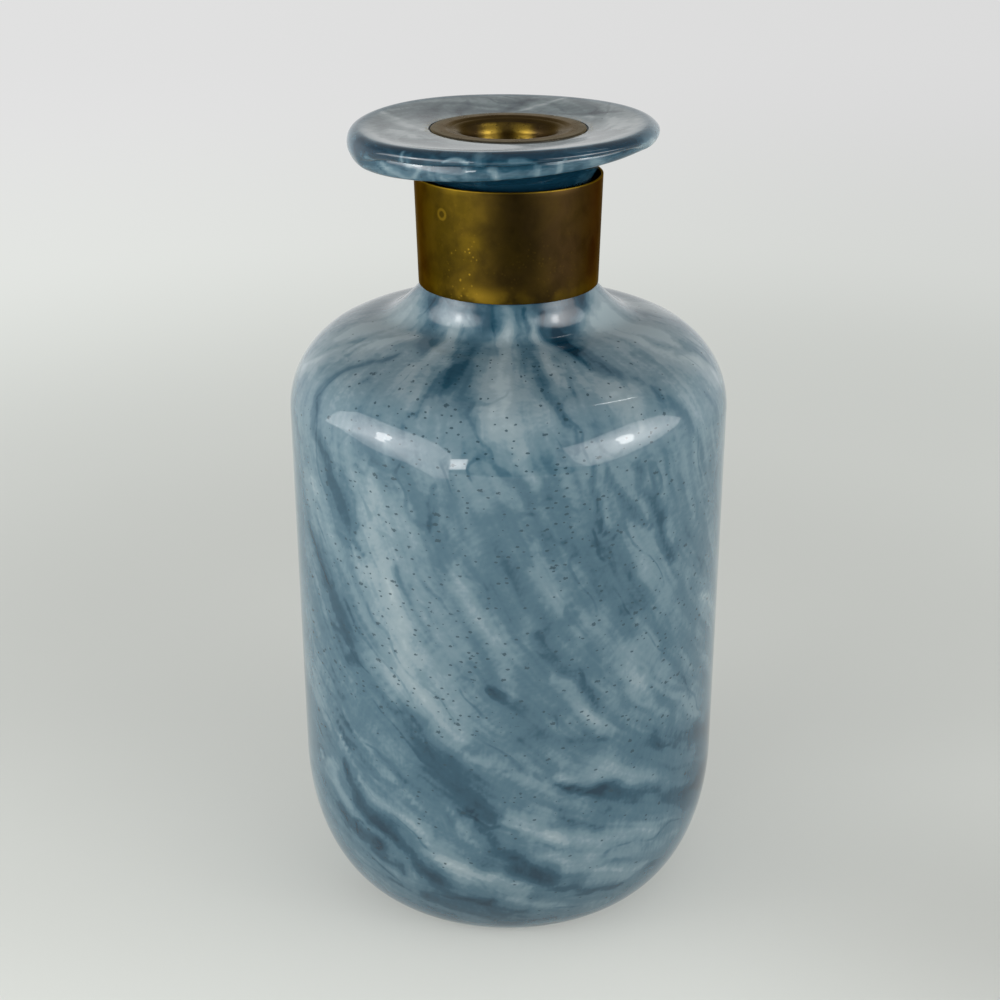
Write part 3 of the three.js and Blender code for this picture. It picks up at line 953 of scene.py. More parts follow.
@dataclass
class GlassVessel:
    """The glass: body, neck and folded lip in one blown piece.

    A crease wave is its height, its count round the lip and its phase; a swirl is its size and its reach.
    Tones start and end in millimetres down from the foot of the neck, or up from it for the neck and lip.
    """

    height: float = 281.0
    body_radius: float = 76.0
    foot_radius: float = 50.0
    foot_ring: float = 14.0
    punt: float = 3.0
    heel: float = 51.0
    wall: float = 5.0
    base: float = 12.0
    floor_radius: float = 44.0
    floor_rise: float = 1.5
    shoulder: float = 30.5
    shoulder_radius: float = 44.5
    flare: float = 20.5
    flare_curve: float = 1.8
    shoulder_flat: float = 1.5
    press: float = 8.5
    press_drop: float = 1.5
    press_reach_up: float = 9.5
    press_reach_down: float = 6.0
    neck_radius: float = 26.8
    neck: float = 23.0
    neck_wall: float = 4.0
    lip: float = 8.3
    lip_flare: float = 14.7
    lip_under_radius: float = 45.0
    lower_roll: float = 2.6
    lower_roll_out: float = 1.2
    upper_roll: float = 2.3
    upper_roll_reach: float = 4.3
    upper_roll_out: float = 2.1
    lip_fall: float = 2.1
    mouth: float = 3.5
    seat: float = 3.6
    chamfer: float = 0.6
    lip_shift: float = -1.8
    lip_lift_azimuth: float = 16.0
    crest_lift: float = 1.0
    under_lift: float = 3.6
    lip_pulls: tuple[LipPull, ...] = (
        LipPull(130, 42, 0.0, 1.0),
        LipPull(-38, 30, 0.55, -0.2),
        LipPull(215, 28, 0.35, -0.25),
    )
    nose: float = 4.7
    roll_turns: Point = (18.0, -70.0)
    lip_steps: int = 18
    crease_reach: float = 2.2
    crease_lift: float = 0.8
    crease_waves: tuple[tuple[float, int, float], ...] = ((0.35, 5, 0.6), (0.25, 11, 2.1))
    fold_opens: Point = (0.42, 0.72)
    turns: int = 300
    twist_start: float = 205.0
    twist_ease: float = 25.0
    twist: float = 0.0062
    twist_growth: float = 1.716e-9
    lip_turn: float = 2.5
    swirl_seed: int = 4
    swirls: tuple[Point, ...] = ((20.0, 5.0), (7.0, 2.6))
    seed: int = 7
    back_streaks: int = 46
    back_starts: Point = (4.0, 215.0)
    back_lengths: Point = (28.0, 95.0)
    back_lowest: float = 262.0
    back_azimuths: Point = (104.0, 256.0)
    back_strengths: Point = (0.4, 0.95)
    back_widths: Point = (2.5, 9.5)
    back_pale: float = 0.45
    shoulder_run: float = 60.0
    lip_dark: float = 0.10
    lip_front_dark: float = 1.40
    lip_right_pale: float = 0.5
    under_shadow_start: Point = (10.0, 24.0)
    neck_painted_shade: float = 0.6
    neck_shade_start: Point = (-18.0, -8.0)
    neck_shade_end: Point = (2.0, 10.0)
    shoulder_pale: float = 0.42
    shoulder_start: Point = (12.0, 24.0)
    shoulder_end: Point = (52.0, 78.0)
    heel_painted_shade: float = 0.3
    heel_shade_start: Point = (160.0, 190.0)
    crest_painted_sheen: float = 0.9
    tone_limit: float = 1.4
    top_sheen_share: float = 0.8
    crust_reach: float = 2.6
    seed_rise: float = 0.45
    seed_levels: Point = (62.0, 108.0)
    seed_front: float = 0.2
    seed_start: Point = (16.0, 40.0)
    bare_share: float = 0.8
    bare_end: Point = (62.0, 80.0)
    finish: MarbledGlass = field(default_factory=MarbledGlass)

    def __post_init__(self) -> None:
        """Works the levels out from the top down."""
        self.seat_level = self.height - self.mouth
        self.under_level = self.height - self.lip
        self.neck_top = self.under_level - self.lip_flare
        self.neck_foot = self.neck_top - self.neck
        self.shoulder_top = self.neck_foot - self.flare
        self.shoulder_base = self.shoulder_top - self.shoulder
        self.bore = self.neck_radius - self.neck_wall
        self.seat_radius = self.bore + self.seat
        self.stations: dict[str, int] = {}
        self.profile: list[Point] = []
        self.travel: list[float] = []

    def mark(self, station: str) -> float:
        """Gives how far along the profile a station lies, in millimetres."""
        return self.travel[self.stations[station]]

    def flare_points(self, low: Point, high: Point, steps: int) -> list[Point]:
        """Lays points up the hollow sweep from the shoulder to the neck.

        Args:
            low: Radius and level where it leaves the shoulder.
            high: Radius and level where it becomes the neck.
            steps: Number of stretches.

        Returns:
            The points as (radius, level).
        """
        shares = np.linspace(0, 1, steps + 1)
        return [(high[0] + (low[0] - high[0]) * (1 - s) ** self.flare_curve, low[1] + (high[1] - low[1]) * s)
                for s in shares]

    def outside(self) -> list[Point]:
        """Lays the outside of the glass, from under the base up to the crest of the lip.

        Returns:
            The points as (radius, level).
        """
        heel_reach = (self.body_radius - self.foot_radius, self.heel)
        shoulder_reach = (self.body_radius - self.shoulder_radius, self.shoulder)
        points = arc((0, 0), (self.foot_radius - self.foot_ring, self.punt), 90, 0, 14)
        points += straight(points[-1], (self.foot_radius, 0), 4)
        points += arc((self.foot_radius, self.heel), heel_reach, -90, 0, 40)[1:]
        points += straight(points[-1], (self.body_radius, self.shoulder_base), 78)
        points += arc((self.shoulder_radius, self.shoulder_base), shoulder_reach, 0, 90, 34)[1:]
        corner = len(points)
        low = (self.shoulder_radius - self.shoulder_flat, self.shoulder_top)
        points += self.flare_points(low, (self.neck_radius, self.neck_foot), 24)
        points = eased(points, corner - 12, corner + 12, 10)
        self.stations["neck_foot"] = len(points) - 1
        points += straight(points[-1], (self.neck_radius, self.neck_top), 6)
        under_reach = (self.lip_under_radius - self.neck_radius, self.lip_flare)
        points += arc((self.lip_under_radius, self.neck_top), under_reach, 180, 90, 22)[1:]
        roll = (self.lip_under_radius + self.lower_roll_out, self.under_level + self.lower_roll)
        self.stations["roll"] = len(points)
        points += arc(roll, (self.lower_roll, self.lower_roll), -90, self.roll_turns[0], 12)
        self.stations["crease"] = len(points) - 1
        roll = (self.lip_under_radius + self.upper_roll_out, self.height - self.upper_roll)
        points += arc(roll, (self.upper_roll_reach, self.upper_roll), self.roll_turns[1], 90, 18)
        self.stations["crest"] = len(points) - 1
        return points

    def inside(self) -> list[Point]:
        """Lays the top of the lip, the mouth and the inside, down to the middle of the floor.

        Returns:
            The points as (radius, level).
        """
        crest = (self.lip_under_radius + self.upper_roll_out, self.height)
        recess = (self.seat_radius, self.height - self.lip_fall)
        pull = ((crest[0] + recess[0]) / 2, self.height - self.lip_fall / 2)
        points = bowed(crest, pull, recess, self.lip_steps)[1:]
        points += straight(points[-1], (self.seat_radius, self.seat_level), 2)
        points += straight(points[-1], (self.bore + self.chamfer, self.seat_level), 5)
        points += straight(points[-1], (self.bore, self.seat_level - self.chamfer), 2)
        shoulder_radius = self.shoulder_radius - self.wall
        shoulder_top = self.shoulder_top - self.wall
        points += self.flare_points((shoulder_radius, shoulder_top), (self.bore, self.neck_foot), 8)[::-1]
        wall_radius = self.body_radius - self.wall
        reach = (wall_radius - shoulder_radius, self.shoulder - self.wall)
        points += arc((shoulder_radius, self.shoulder_base), reach, 90, 0, 10)[1:]
        reach = (wall_radius - self.floor_radius, self.heel - self.base)
        points += arc((self.floor_radius, self.heel), reach, 0, -90, 10)
        points += straight(points[-1], (0, self.base + self.floor_rise), 2)
        return points

    def draw_lip(self, spots: np.ndarray, along: np.ndarray) -> None:
        """Pulls the lip off centre and down to one side, and lets its crease wander.

        Args:
            spots: Vertex places in millimetres, changed here.
            along: Distance of each vertex along the profile.
        """
        x, y, z = spots.T
        azimuth = np.arctan2(y, x)
        hold = smooth(np.hypot(x, y), self.seat_radius, self.lip_under_radius)
        hold = np.where(z > self.neck_top, hold, 0)
        rise = smooth(z, self.under_level, self.height)
        lift = self.under_lift + (self.crest_lift - self.under_lift) * rise
        side = np.cos(azimuth - math.radians(self.lip_lift_azimuth))
        start, crease, crest = (self.mark(name) for name in ("roll", "crease", "crest"))
        near = np.exp(-((along - crease) / self.crease_reach) ** 2)
        wander = self.crease_lift
        for height, count, phase in self.crease_waves:
            wander = wander + height * np.sin(count * azimuth + phase)
        shut_until, open_from = self.fold_opens
        open_fold = np.clip((-np.sin(azimuth) - shut_until) / (open_from - shut_until), 0, 1)
        share = np.clip((along - start) / (crest - start), 0, 1)
        shut = np.where((share > 0) & (share < 1), 1 - open_fold, 0)
        low = self.lip_under_radius + self.lower_roll_out
        high = self.lip_under_radius + self.upper_roll_out
        nose_radius = low + (high - low) * share + self.nose * np.sin(math.pi * share)
        nose_level = self.height - self.lip * (1 + np.cos(math.pi * share)) / 2
        out = shut * (nose_radius - np.hypot(x, y))
        up = near * wander * open_fold + shut * (nose_level - z)
        for pull in self.lip_pulls:
            weight = hold * pull.weigh(azimuth)
            out = out + weight * pull.out
            up = up + weight * pull.up
        spots[:, 0] = x + hold * self.lip_shift + out * np.cos(azimuth)
        spots[:, 1] = y + out * np.sin(azimuth)
        spots[:, 2] = z + hold * lift * side + up

    def press_flare(self, spots: np.ndarray) -> None:
        """Presses the flare in at the front, where the neck runs down steeper.

        Args:
            spots: Vertex places in millimetres, changed here.
        """
        x, y, z = spots.T
        radius = np.maximum(np.hypot(x, y), 1.0)
        facing = smooth(-y / radius, 0.0, 0.75)
        rise = z - self.shoulder_top + self.press_drop
        fade = np.exp(-(rise / np.where(rise > 0, self.press_reach_up, self.press_reach_down)) ** 2)
        spots[:, :2] *= (1 - self.press * facing * fade / radius)[:, None]

    def twist_at(self, level: np.ndarray) -> np.ndarray:
        """Gives how far the marbling has turned.

        Args:
            level: Levels in millimetres.

        Returns:
            The turn at each level, in radians.
        """
        drop = np.clip(self.twist_start - level, 0, None)
        eased_drop = np.hypot(drop, self.twist_ease) - self.twist_ease
        return self.twist * eased_drop + self.twist_growth * drop ** 4

    def hidden_streaks(self) -> list[Streak]:
        """Makes up the marbling of the side that faces away, following the same twist.

        Returns:
            The streaks.
        """
        draw = np.random.default_rng(self.seed)
        streaks = []
        for _ in range(self.back_streaks):
            start = draw.uniform(*self.back_starts)
            length = draw.uniform(*self.back_lengths)
            falls = np.linspace(start, min(start + length, self.back_lowest), 5)
            levels = self.shoulder_base + self.shoulder_run - falls
            turns = np.degrees(self.twist_at(levels))
            azimuth = draw.uniform(*self.back_azimuths) - (turns[0] + turns[-1]) / 2
            tone = PALE if draw.random() < self.back_pale else DARK
            path = tuple((float(f), float(azimuth + t)) for f, t in zip(falls, turns))
            strength = draw.uniform(*self.back_strengths)
            width = draw.uniform(*self.back_widths)
            streaks.append(Streak(tone, strength, width, path))
        return streaks

    def grain(self, spots: np.ndarray, along: np.ndarray) -> np.ndarray:
        """Works out which way the marbling runs: down the glass, twisted, and round on the lip.

        Args:
            spots: Vertex places in millimetres.
            along: Distance of each vertex along the profile.

        Returns:
            A unit vector for each vertex.
        """
        x, y, z = spots.T
        radius = np.maximum(np.hypot(x, y), 0.1)
        outward = np.stack((x / radius, y / radius), axis=1)
        slope = np.gradient(np.array(self.profile), np.array(self.travel), axis=0)
        run = np.interp(along, self.travel, slope[:, 0])
        rise = np.interp(along, self.travel, slope[:, 1])
        steps = self.twist_at(z - 0.5) - self.twist_at(z + 0.5)
        turn = radius * steps * np.abs(rise)
        crease = self.mark("crease")
        on_lip = smooth(along, crease - 2, crease + 1)
        turn = turn * (1 - on_lip) + self.lip_turn * on_lip
        way = np.stack((-run * outward[:, 0] - turn * outward[:, 1],
                        -run * outward[:, 1] + turn * outward[:, 0], -rise), axis=1)
        return way / np.maximum(np.linalg.norm(way, axis=1), 1e-6)[:, None]

    def drift(self, spots: np.ndarray) -> np.ndarray:
        """Bends the marbling a little with noise, seeded because it otherwise starts from the clock.

        Args:
            spots: Vertex places in millimetres.

        Returns:
            How far each vertex's marbling is moved, in millimetres.
        """
        noise.seed_set(self.swirl_seed)
        moved = np.zeros(spots.shape)
        for size, reach in self.swirls:
            moved += reach * np.array([noise.noise_vector(Vector(spot) / size) for spot in spots])
        return moved

    def shading(self, fall: np.ndarray, front: np.ndarray) -> np.ndarray:
        """Works out the tone from heel to lip apart from the streaks, with painted shade and painted sheen.

        Args:
            fall: Distance of each vertex down the outside from the neck's foot, in millimetres.
            front: Angle of each vertex from the front, in radians.

        Returns:
            What each vertex's tone gains, negative where it darkens.
        """
        crest = self.mark("neck_foot") - self.mark("crest")
        crease = self.mark("neck_foot") - self.mark("crease")
        facing = smooth(np.cos(front), 0.1, 0.7)
        right = smooth(np.sin(front), 0.7, 1.0)
        upper = smooth(-fall, -crease - 1, -crease + 1) * smooth(fall, crest, crest + 2)
        # Painted shadow on the underside of the lip, which faces down
        under = smooth(-fall, *self.under_shadow_start) * smooth(fall, crease - 1, crease + 1)
        under = under * (0.65 + 0.75 * smooth(fall, crease + 4, crease + 9))
        lip = (self.lip_dark + self.lip_front_dark * facing) * upper + under
        lip = lip - self.lip_right_pale * right * (upper + under)
        # Painted shade round the foot of the neck, below and under the brass collar
        neck = smooth(-fall, *self.neck_shade_start) * (1 - smooth(-fall, *self.neck_shade_end))
        shoulder = smooth(fall, *self.shoulder_start) * (1 - smooth(fall, *self.shoulder_end))
        # The shoulder is paler; towards the heel the glass darkens with painted shade
        body = self.shoulder_pale * shoulder - self.heel_painted_shade * smooth(fall, *self.heel_shade_start)
        # Painted sheen: a pale band just inside the crest of the lip, on the front and sides
        crest_sheen = smooth(-fall, -crest - 1, -crest + 0.3) * (1 - smooth(-fall, -crest + 2, -crest + 7))
        crest_sheen = self.crest_painted_sheen * crest_sheen * smooth(np.cos(front), -0.5, 0.4)
        return body - self.neck_painted_shade * neck - lip + crest_sheen

    def marble(self, piece: Piece, spots: np.ndarray, along: np.ndarray) -> None:
        """Stores on each point where it lies in the drawn-out glass, its tone and whether seeds show there.

        Args:
            piece: The glass object.
            spots: Vertex places in millimetres.
            along: Distance of each vertex along the profile.
        """
        x, y, z = spots.T
        radius = np.hypot(x, y)
        front = np.arctan2(x, -y)
        fall = self.mark("neck_foot") - along
        moved = self.drift(spots)
        azimuth = np.degrees(front + moved[:, 0] / np.maximum(radius, 20))
        level = fall + moved[:, 1]
        tone = self.shading(fall, front)
        for streak in (*UPPER_STREAKS, *BODY_STREAKS, *LOWER_STREAKS, *LIP_STREAKS, *self.hidden_streaks()):
            tone += streak.weigh(level, azimuth, radius)
        crest = self.mark("neck_foot") - self.mark("crest")
        # Painted sheen on the top of the lip: there the colours turn paler and the marbling is toned down
        top = np.clip((crest - fall) / 3, 0, 1)
        tone = np.clip(tone, -self.tone_limit, self.tone_limit) * (1 - 0.2 * top)
        ring = np.abs(along - self.mark("recess"))
        beside = np.clip(1.5 * np.sin(front) ** 2 - 0.4, 0.1, 1)
        crust = np.where(fall < crest, np.clip(1 - ring / self.crust_reach, 0, 1) * beside, 0)
        bare = smooth(np.abs(np.sin(front)), 0.5, 0.9) * (1 - smooth(fall, *self.bare_end))
        seeded = self.seed_rise * smooth(z, *self.seed_levels) + self.seed_front * np.cos(front)
        seeded *= smooth(fall, *self.seed_start) * (1 - self.bare_share * bare)
        sheet = np.stack((self.body_radius * front, fall, np.zeros(len(spots))), axis=1)
        attributes = piece.data.attributes
        for name, vectors in {"grain": self.grain(spots, along), "sheet": sheet * MM}.items():
            attributes.new(name, "FLOAT_VECTOR", "POINT").data.foreach_set("vector", vectors.ravel())
        scalars = {"tone": tone, "seeded": seeded, "top_sheen": self.top_sheen_share * top, "crust": crust}
        for name, values in scalars.items():
            attributes.new(name, "FLOAT", "POINT").data.foreach_set("value", values)

    def build(self) -> Piece:
        """Blows the glass and draws out its lip.

        Returns:
            The glass object.
        """
        profile = self.outside()
        self.stations["recess"] = len(profile) + self.lip_steps - 1
        profile += self.inside()
        self.profile = profile
        self.travel = [0.0]
        for start, end in zip(profile, profile[1:]):
            self.travel.append(self.travel[-1] + math.dist(start, end))
        piece = settle(turned(profile, self.turns), "glass_bottle", 60)
        count = len(piece.data.vertices)
        spots = np.empty(count * 3)
        piece.data.vertices.foreach_get("co", spots)
        spots = spots.reshape(-1, 3) / MM
        along = np.empty(count)
        piece.data.attributes["along"].data.foreach_get("value", along)
        self.marble(piece, spots, along)
        self.press_flare(spots)
        self.draw_lip(spots, along)
        piece.data.vertices.foreach_set("co", (spots * MM).ravel())
        piece.data.update()
        return piece

    def dress(self, piece: Piece) -> None:
        """Gives the glass its finish and puts it in place."""
        piece.data.materials.append(self.finish.material())
        hand_over(piece, "glass_vessel", "vessel")


@dataclass
class NeckCollar:
    """The brass band round the neck, a strip with its ends butted at the back."""

    lower_radius: float = 30.6
    taper: float = 1.0
    foot_level: float = 227.42
    height: float = 37.0
    sheet: float = 0.8
    seam: float = 0.5
    edge: float = 0.22
    turns: int = 220
    rows: int = 18
    finish: AgedBrass = field(default_factory=AgedBrass)

    def section(self) -> list[Point]:
        """Lays the strip's cross-section with its edges eased.

        Returns:
            The points as (radius, level).
        """
        top = self.foot_level + self.height
        out_low = (self.lower_radius, self.foot_level)
        out_high = (self.lower_radius + self.taper, top)
        in_low = (out_low[0] - self.sheet, self.foot_level)
        in_high = (out_high[0] - self.sheet, top)
        ease = (self.edge, self.edge)
        points = arc((out_low[0] - self.edge, out_low[1] + self.edge), ease, -90, 0, 3)
        points += straight(points[-1], (out_high[0], out_high[1] - self.edge), self.rows)
        points += arc((out_high[0] - self.edge, out_high[1] - self.edge), ease, 0, 90, 3)[1:]
        points += arc((in_high[0] + self.edge, in_high[1] - self.edge), ease, 90, 180, 3)
        points += straight(points[-1], (in_low[0], in_low[1] + self.edge), self.rows)
        points += arc((in_low[0] + self.edge, in_low[1] + self.edge), ease, 180, 270, 3)[1:]
        return points

    def build(self) -> Piece:
        """Bends the strip round the neck."""
        sweep = FULL_TURN - self.seam / self.lower_radius
        return settle(turned(self.section(), self.turns, sweep, closed=True), "brass_neck_collar")

    def dress(self, piece: Piece) -> None:
        """Gives the collar its finish and puts it in place."""
        piece.data.materials.append(self.finish.material())
        hand_over(piece, "neck_collar", "collar")


@dataclass
class MouthFerrule:
    """The dished brass fitting in the mouth, with its rim rolled and its throat drawn down."""

    rim_radius: float = 25.9
    rim_top: float = 279.2
    rim: float = 1.4
    band: float = 4.9
    dish: float = 0.5
    sheet: float = 0.9
    throat: float = 13.2
    throat_flare: float = 1.0
    throat_flare_depth: float = 4.4
    throat_edge: float = 5.0
    swage: float = 2.3
    swage_level: float = 256.1
    turns: int = 160
    finish: WornBrass = field(default_factory=WornBrass)

    def section(self) -> list[Point]:
        """Lays the drawn sheet's cross-section as a closed loop.

        Returns:
            The points as (radius, level).
        """
        bead = self.rim / 2
        bead_radius = self.rim_radius - bead
        edge_radius = self.throat + self.throat_flare + self.throat_edge
        edge_level = self.rim_top - self.dish - self.throat_edge
        band_inner = (self.rim_radius - self.band, self.rim_top)
        edge_top = (edge_radius, self.rim_top - self.dish)
        pull = ((band_inner[0] + edge_radius) / 2, self.rim_top - self.dish / 3)
        dish = bowed(band_inner, pull, edge_top, 14)
        under = self.throat_edge - self.sheet
        outer = self.throat + self.sheet
        points = arc((bead_radius, self.rim_top - bead), (bead, bead), -90, 90, 14)
        points += straight(points[-1], dish[0], 6)
        points += dish[1:]
        points += arc((edge_radius, edge_level), (self.throat_edge, self.throat_edge), 90, 180, 14)[1:]
        flare_end = edge_level - self.throat_flare_depth
        points += straight(points[-1], (self.throat, flare_end), 8)
        points += straight(points[-1], (self.throat, self.swage_level - self.sheet), 10)
        points += straight(points[-1], (outer + self.swage, self.swage_level - self.sheet), 3)
        points += straight(points[-1], (outer + self.swage, self.swage_level), 2)
        points += straight(points[-1], (outer, self.swage_level), 3)
        points += straight(points[-1], (outer, flare_end), 4)
        points += arc((edge_radius, edge_level), (under, under), 180, 90, 10)
        points += [(radius, level - self.sheet) for radius, level in dish[::-1]][1:]
        points += [(bead_radius - bead, self.rim_top - self.sheet)]
        return points

    def build(self) -> Piece:
        """Draws the ferrule from its sheet."""
        return settle(turned(self.section(), self.turns, closed=True), "brass_mouth_ferrule")

    def dress(self, piece: Piece) -> None:
        """Gives the ferrule its finish and puts it in place."""
        piece.data.materials.append(self.finish.material())
        hand_over(piece, "mouth_ferrule", "ferrule")


@dataclass
class NeckBung:
    """The cork sleeve that carries the ferrule in the bore."""

    inner: float = 14.4
    outer: float = 22.5
    bottom: float = 256.4
    top: float = 273.4
    flare: float = 0.932
    flare_foot: float = 269.3
    edge: float = 0.8
    turns: int = 120
    finish: Cork = field(default_factory=Cork)

    def section(self) -> list[Point]:
        """Lays the sleeve's cross-section with its outer corners eased round.

        Returns:
            The points as (radius, level).
        """
        ease = (self.edge, self.edge)
        points = [(self.inner, self.bottom)]
        points += arc((self.outer - self.edge, self.bottom + self.edge), ease, -90, 0, 4)
        points += straight(points[-1], (self.outer, self.top - self.edge), 12)
        points += arc((self.outer - self.edge, self.top - self.edge), ease, 0, 90, 4)[1:]
        points += [(self.inner + self.flare, self.top), (self.inner, self.flare_foot)]
        return points

    def build(self) -> Piece:
        """Cuts the bung."""
        return settle(turned(self.section(), self.turns, closed=True), "cork_bung")

    def dress(self, piece: Piece) -> None:
        """Gives the bung its finish and puts it in place."""
        piece.data.materials.append(self.finish.material())
        hand_over(piece, "neck_bung", "ferrule")


def aimed(azimuth: float, elevation: float) -> Vector:
    """Gives a direction from the decanter.

    Args:
        azimuth: Degrees from the front, positive to the right.
        elevation: Degrees above the level.

    Returns:
        A unit vector.
    """
    turn, rise = math.radians(azimuth), math.radians(elevation)
    level = math.cos(rise)
    return Vector((math.sin(turn) * level, -math.cos(turn) * level, math.sin(rise)))


@dataclass(frozen=True)
class Softbox:
    """A small round-cornered lamp that faces the decanter."""

    azimuth: float
    elevation: float
    distance: float
    width: float
    height: float
    radiance: float
    tint: Colour = LAMP_TINT

    def hang(self, name: str, target: Vector) -> None:
        """Hangs the lamp.

        Args:
            name: The lamp's name.
            target: The point that it faces, in metres.
        """
        lamp = bpy.data.lights.new(name, "AREA")
        lamp.shape = "ELLIPSE"
        lamp.size = self.width
        lamp.size_y = self.height
        lamp.energy = self.radiance * math.pi * self.width * self.height * math.pi / 4
        lamp.color = self.tint
        holder = bpy.data.objects.new(name, lamp)
        aim = aimed(self.azimuth, self.elevation)
        holder.location = target + aim * self.distance
        holder.rotation_euler = aim.to_track_quat("Z", "Y").to_euler()
        holder.visible_camera = False
        bpy.context.scene.collection.objects.link(holder)


@dataclass(frozen=True)
class GlowPanel:
    """A large soft lamp of free outline, brightest at its heart.

    Its heart and its rim are directions from the decanter, as (azimuth, elevation) in degrees.
    """

    heart: Point
    rim: tuple[Point, ...]
    heart_radiance: float
    rim_radiance: float
    distance: float = 0.95
    floor_gap: float = 0.012

    def spot(self, direction: Point, target: Vector) -> Vector:
        """Finds the panel's point in a direction, drawn nearer where it would lie under the floor.

        Args:
            direction: Azimuth and elevation in degrees.
            target: The point that directions start from, in metres.

        Returns:
            The point in metres.
        """
        aim = aimed(*direction)
        reach = self.distance
        if aim.z < 0:
            reach = min(reach, (target.z - self.floor_gap) / -aim.z)
        return target + aim * reach

    def hang(self, name: str, target: Vector) -> None:
        """Hangs the panel.

        Args:
            name: The panel's name.
            target: The point that its directions start from, in metres.
        """
        mesh = bmesh.new()
        glow = mesh.verts.layers.float.new("glow")
        face = mesh.faces.new([mesh.verts.new(self.spot(point, target)) for point in self.rim])
        heart = bmesh.ops.poke(mesh, faces=[face])["verts"][0]
        heart.co = self.spot(self.heart, target)
        heart[glow] = 1.0
        panel = settle(mesh, name)
        bench = NodeBench(name)
        share = bench.attribute("glow", "Fac")
        level = bench.between(share, 0.0, 1.0, self.rim_radiance, self.heart_radiance)
        light = bench.add("Emission", {"Color": (*LAMP_TINT, 1.0), "Strength": level})
        panel.data.materials.append(bench.close(light))
        panel.visible_camera = False
        panel.visible_shadow = False


@dataclass(frozen=True)
class DarkCard:
    """A dark card that the brass and the glass reflect; sizes and place in metres."""

    width: float
    depth: float
    place: tuple[float, float, float]
    upright: bool
    shade: Colour = (0.02, 0.02, 0.02)

    def stand(self, name: str) -> None:
        """Stands or lays the card, out of the camera's sight.

        Args:
            name: The card's name.
        """
        mesh = bmesh.new()
        bmesh.ops.create_grid(mesh, x_segments=1, y_segments=1, size=0.5)
        bmesh.ops.scale(mesh, vec=(self.width, self.depth, 1.0), verts=mesh.verts)
        if self.upright:
            quarter = Matrix.Rotation(math.pi / 2, 3, "X")
            bmesh.ops.rotate(mesh, cent=(0, 0, 0), matrix=quarter, verts=mesh.verts)
        bmesh.ops.translate(mesh, vec=self.place, verts=mesh.verts)
        card = settle(mesh, name)
        bench = NodeBench(name)
        cloth = bench.add("BsdfDiffuse", {"Color": (*self.shade, 1.0)})
        card.data.materials.append(bench.close(cloth))
        card.visible_camera = False


